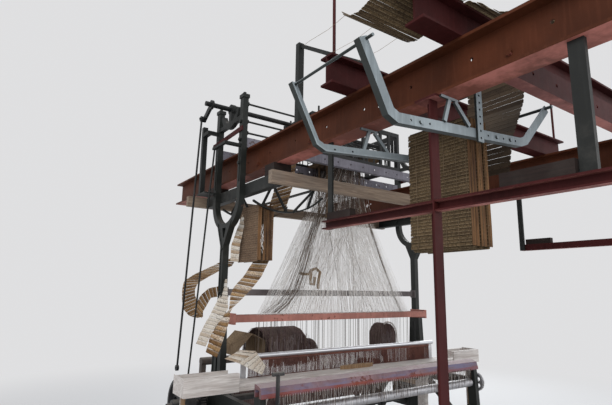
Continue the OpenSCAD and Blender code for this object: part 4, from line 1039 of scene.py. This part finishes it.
def make_loose_cards(wide, middle, over, fine, pick):
    """The run over the cylinder, the loops and strips at the left, and the cards above the girder."""
    chain = run_of_cards(OVER_CYLINDER, CYLINDER_Y, pick)
    loose = [
        cards_mesh("over", chain, middle, "card_loose", 0.03, 0.004, 1),
        ribbon("loop", *LOOP, 44, pick, (0.35, 0.75)),
        ribbon("tail", *TAIL, 9, pick, (0.3, 0.6)),
        ribbon("falling", *FALLING, 23, pick, (0.35, 1.05)),
    ]
    joined_piece("cards_loose", loose, "card_loose", replaces=("card_chain",))
    pale = [
        ribbon("white", *WHITE_STRIP, 17, pick, (0.7, 0.95)),
        ribbon("behind", *BEHIND, 13, pick, (0.4, 0.9)),
    ]
    joined_piece("cards_white", pale, "card_white")
    fallen = [
        ribbon("fallen_a", *FALLEN[0], 5, pick, (0.4, 0.9)),
        ribbon("fallen_b", *FALLEN[1], 5, pick, (0.8, 1.0)),
    ]
    joined_piece("cards_fallen", fallen, "card_white", "sley")
    hammock = run_of_cards(HAMMOCK, HAMMOCK_X, pick, "x", STACK_PITCH, (0.3, 0.5))
    heap = run_of_cards(GIRDER_HEAP, HEAP_X, pick, "x", tones=(0.5, 1.2))
    dark = [
        cards_mesh("hammock", hammock, fine, "card_near", 0.12, 0.01, 7),
        cards_mesh("heap", heap, over, "card_near", 0.10, 0.03, 8),
    ]
    joined_piece("cards_above", dark, "card_near")
    climbing = run_of_cards(RISING, NEAR_STACK_Y, pick, tones=(0.4, 0.6))
    rising = cards_mesh("cards_rising", climbing, wide, "card_dark", 0.01, 0.004, 5)
    new_piece("cards_rising", rising)


def make_laces(pick):
    """Laces of the run over the cylinder, of the near stack, and the ties of the hanging sheet."""
    laces = list(lacing(OVER_CYLINDER, CYLINDER_Y, 161))
    for y in (-2020, -1960, -1885, -1700):
        laces.append([place(-752.5, y + pick.uniform(-2, 2), z) for z in range(1815, 2470, 70)])
    for x in (HAMMOCK_X - LACE_REACH, HAMMOCK_X, HAMMOCK_X + LACE_REACH):
        laces.append(route((x, -1880, 2858), (x + 3, -1740, 2852), (x, -1582, 2864), (x, -1530, 2864)))
    strands("card_laces", laces, "flap", 0.0010)


def make_cards():
    pick = random.Random(5)
    wide = card_template("card_wide", 0.388, CARD_HEIGHT)
    middle = card_template("card_middle", 0.322, CARD_HEIGHT)
    over = card_template("card_over", 0.236, CARD_HEIGHT)
    fine = card_template("card_fine", 0.388, STACK_CARD_HEIGHT)
    small = card_template("card_small", 0.322, STACK_CARD_HEIGHT)
    make_stacks(fine, small, pick)
    make_loose_cards(wide, middle, over, fine, pick)
    make_laces(pick)
    for template in (wide, middle, over, fine, small):
        bpy.data.objects.remove(template)


make_cards()

# Skeins on the back rest, in the drawing's millimetres

REST_Y = 420
REST_Z = 985
HANK_X = 945
HANK_HALF = 118
HANK_FOOT = 988
HANK_ARCH = 1112
HALF_ROUND = [math.pi * i / 8 for i in range(9)]


def draped(x0, x1, radius, drop, step, lift, pick):
    """Strands laid over the back rest in a half round, their ends hanging down on both sides."""
    x = x0
    while x < x1:
        r = radius - lift + pick.uniform(-3, 1)
        lean = pick.uniform(-9, 9)
        line = [place(x + lean, REST_Y - r + 2, REST_Z - drop * pick.uniform(0.3, 1.0))]
        for angle in HALF_ROUND:
            shift = lean * math.cos(angle)
            height = REST_Z + r * math.sin(angle)
            line.append(place(x + shift + pick.uniform(-1, 1), REST_Y - r * math.cos(angle), height))
        line.append(place(x - lean, REST_Y + r - 2, REST_Z - drop * pick.uniform(0.3, 1.0)))
        yield line
        x += step


def hank_arch(r, angle):
    """X and Z of the upright hank's arch at an angle from its left foot."""
    return HANK_X - r * math.cos(angle), HANK_ARCH + 1.15 * r * math.sin(angle)


def hank_strands(pick):
    """The hank that stands at the right end, in three layers."""
    for turn in range(3):
        y = 256
        while y < 420:
            r = HANK_HALF - 4 * turn + pick.uniform(-2, 1)
            at = y + pick.uniform(-4, 4)
            line = [place(HANK_X - r, at, HANK_FOOT)]
            for x, z in (hank_arch(r, angle) for angle in HALF_ROUND):
                line.append(place(x, at + pick.uniform(-2, 2), z))
            line.append(place(HANK_X + r, at, HANK_FOOT))
            yield line
            y += 3.4


def hank_strap():
    """The white band that lies over the hank and down its right side."""
    for i in range(12):
        r = HANK_HALF + 6 + 1.2 * i
        line = []
        for k in range(9):
            x, z = hank_arch(r, math.pi * (0.35 + 0.65 * k / 8))
            line.append(place(x, 250 + 3 * (i % 3), z))
        line.append(place(HANK_X + r + 6, 252, 1040))
        yield line


def front_strands(pick):
    """Strands that close the front of the hank and of the wide skein."""
    for i in range(120):
        angle = math.pi * (i + 0.5) / 120
        top = HANK_ARCH + 1.12 * HANK_HALF * math.sin(angle)
        x = HANK_X - (HANK_HALF - 4) * math.cos(angle)
        foot = (x + pick.uniform(-3, 3), 252 + pick.uniform(0, 4), HANK_FOOT)
        yield route(foot, (x, 252 + pick.uniform(0, 4), top))
    for i in range(150):
        x = -554 + 418 * (i + pick.random()) / 150
        yield route((x + pick.uniform(-10, 10), 160, 1000), (x, 166, 1090 + pick.uniform(0, 60)))


def light_strands(pick):
    """Paler strands that stray over the front of the skeins."""
    for _ in range(70):
        x = pick.uniform(-550, -140)
        high = pick.uniform(1080, 1200)
        foot = (x + pick.uniform(-8, 8), 159, high - pick.uniform(60, 120))
        yield route(foot, (x, 160 + 3 * (high > 1150), high))
    for _ in range(34):
        x = HANK_X + pick.uniform(-100, 100)
        high = pick.uniform(1080, 1190)
        yield route((x, 250, high - pick.uniform(50, 110)), (x, 250, high))


def flap_strands(pick):
    """The folded flap at the left end of the skeins."""
    for i in range(90):
        y = 244 + 352 * i / 89
        ragged = pick.uniform(-4, 4)
        yield route(
            (-812, y, 1022), (-812, y + ragged, 1090), (-690, y + ragged, 1208), (-566, y, 1147),
            (-566, y, 1022),
        )


def make_skeins():
    pick = random.Random(23)
    lines = []
    for lift, step in ((0, 3.4), (4, 3.0), (9, 3.0)):
        lines += draped(-554, -136, 259, 60, step, lift, pick)
        lines += draped(-128, 48, 137, 70, step, lift, pick)
    lines += hank_strands(pick)
    lines += front_strands(pick)
    pale = list(light_strands(pick))
    flap = list(flap_strands(pick))
    strands("skeins", lines, "yarn", 0.0021, replaces=("yarn_bundles",))
    strands("skein_flap", flap, "flap", 0.0028, sides=4)
    strands("skein_lights", pale, "stray", 0.0017)
    strands("skein_strap", hank_strap(), "white_thread", 0.0024, sides=4)


# Reed and loose ends

REED_REACH = 988


def make_reed():
    """The reed: two baulks and fine dents between them, with broken ends of warp stuck in it."""
    pick = random.Random(31)
    count = 560
    dents = []
    for i in range(count):
        x = -REED_REACH + 2 * REED_REACH * (i + 0.5) / count
        dents.append(route((x, -256, 948), (x, -256, 1086)))
    strands(
        "reed_dents", dents, "reed_wire", 0.0013, wander=0.0003, sides=4, body="sley", replaces=("reed",)
    )
    boards = bmesh.new()
    for foot, top in ((917, 958), (1070, 1091)):
        a, b = route((-REED_REACH, -261, foot), (REED_REACH, -251, top))
        made = bmesh.ops.create_cube(boards, size=1.0)
        for vertex in made["verts"]:
            vertex.co = Vector([a[i] if vertex.co[i] < 0 else b[i] for i in range(3)])
    mesh = bpy.data.meshes.new("reed_baulks")
    boards.to_mesh(mesh)
    boards.free()
    new_piece("reed_baulks", mesh, "sley", "reed_wire")
    ends = []
    for _ in range(120):
        x = pick.gauss(-100, 250)
        if abs(x) > 960:
            continue
        top = 955 + pick.uniform(30, 118)
        drop = pick.uniform(20, 75)
        ends.append(route(
            (x, -262.5, top),
            (x + pick.uniform(-6, 6), -265 - pick.uniform(0, 6), top - drop * 0.5),
            (x + pick.uniform(-10, 10), -264 - pick.uniform(0, 10), max(962, top - drop)),
        ))
    strands("broken_ends", ends, "white_thread", 0.0009, body="sley")


def make_fringe():
    """Ends of old warp that hang from the breast beam; two in three are dark cord, painted shade for the
    shade behind the fringe.
    """
    pick = random.Random(41)
    beam_foot, count = 918, 300
    lines = []
    for i in range(count):
        x = -1010 + 2020 * (i + pick.random()) / count
        length = pick.uniform(40, 150)
        lines.append(route(
            (x, -708.5, beam_foot),
            (x + pick.uniform(-5, 5), -711, beam_foot - length * 0.5),
            (x + pick.uniform(-12, 12), -709, beam_foot - length),
        ))
    # Two in three ends are dark cord: painted shade standing in for the shade behind the fringe.
    dark = [line for i, line in enumerate(lines) if i % 3]
    strands("beam_fringe", lines[::3], "cord", 0.0010)
    strands("beam_fringe_dark", dark, "cord_dark", 0.0014)


make_skeins()
make_reed()
make_fringe()
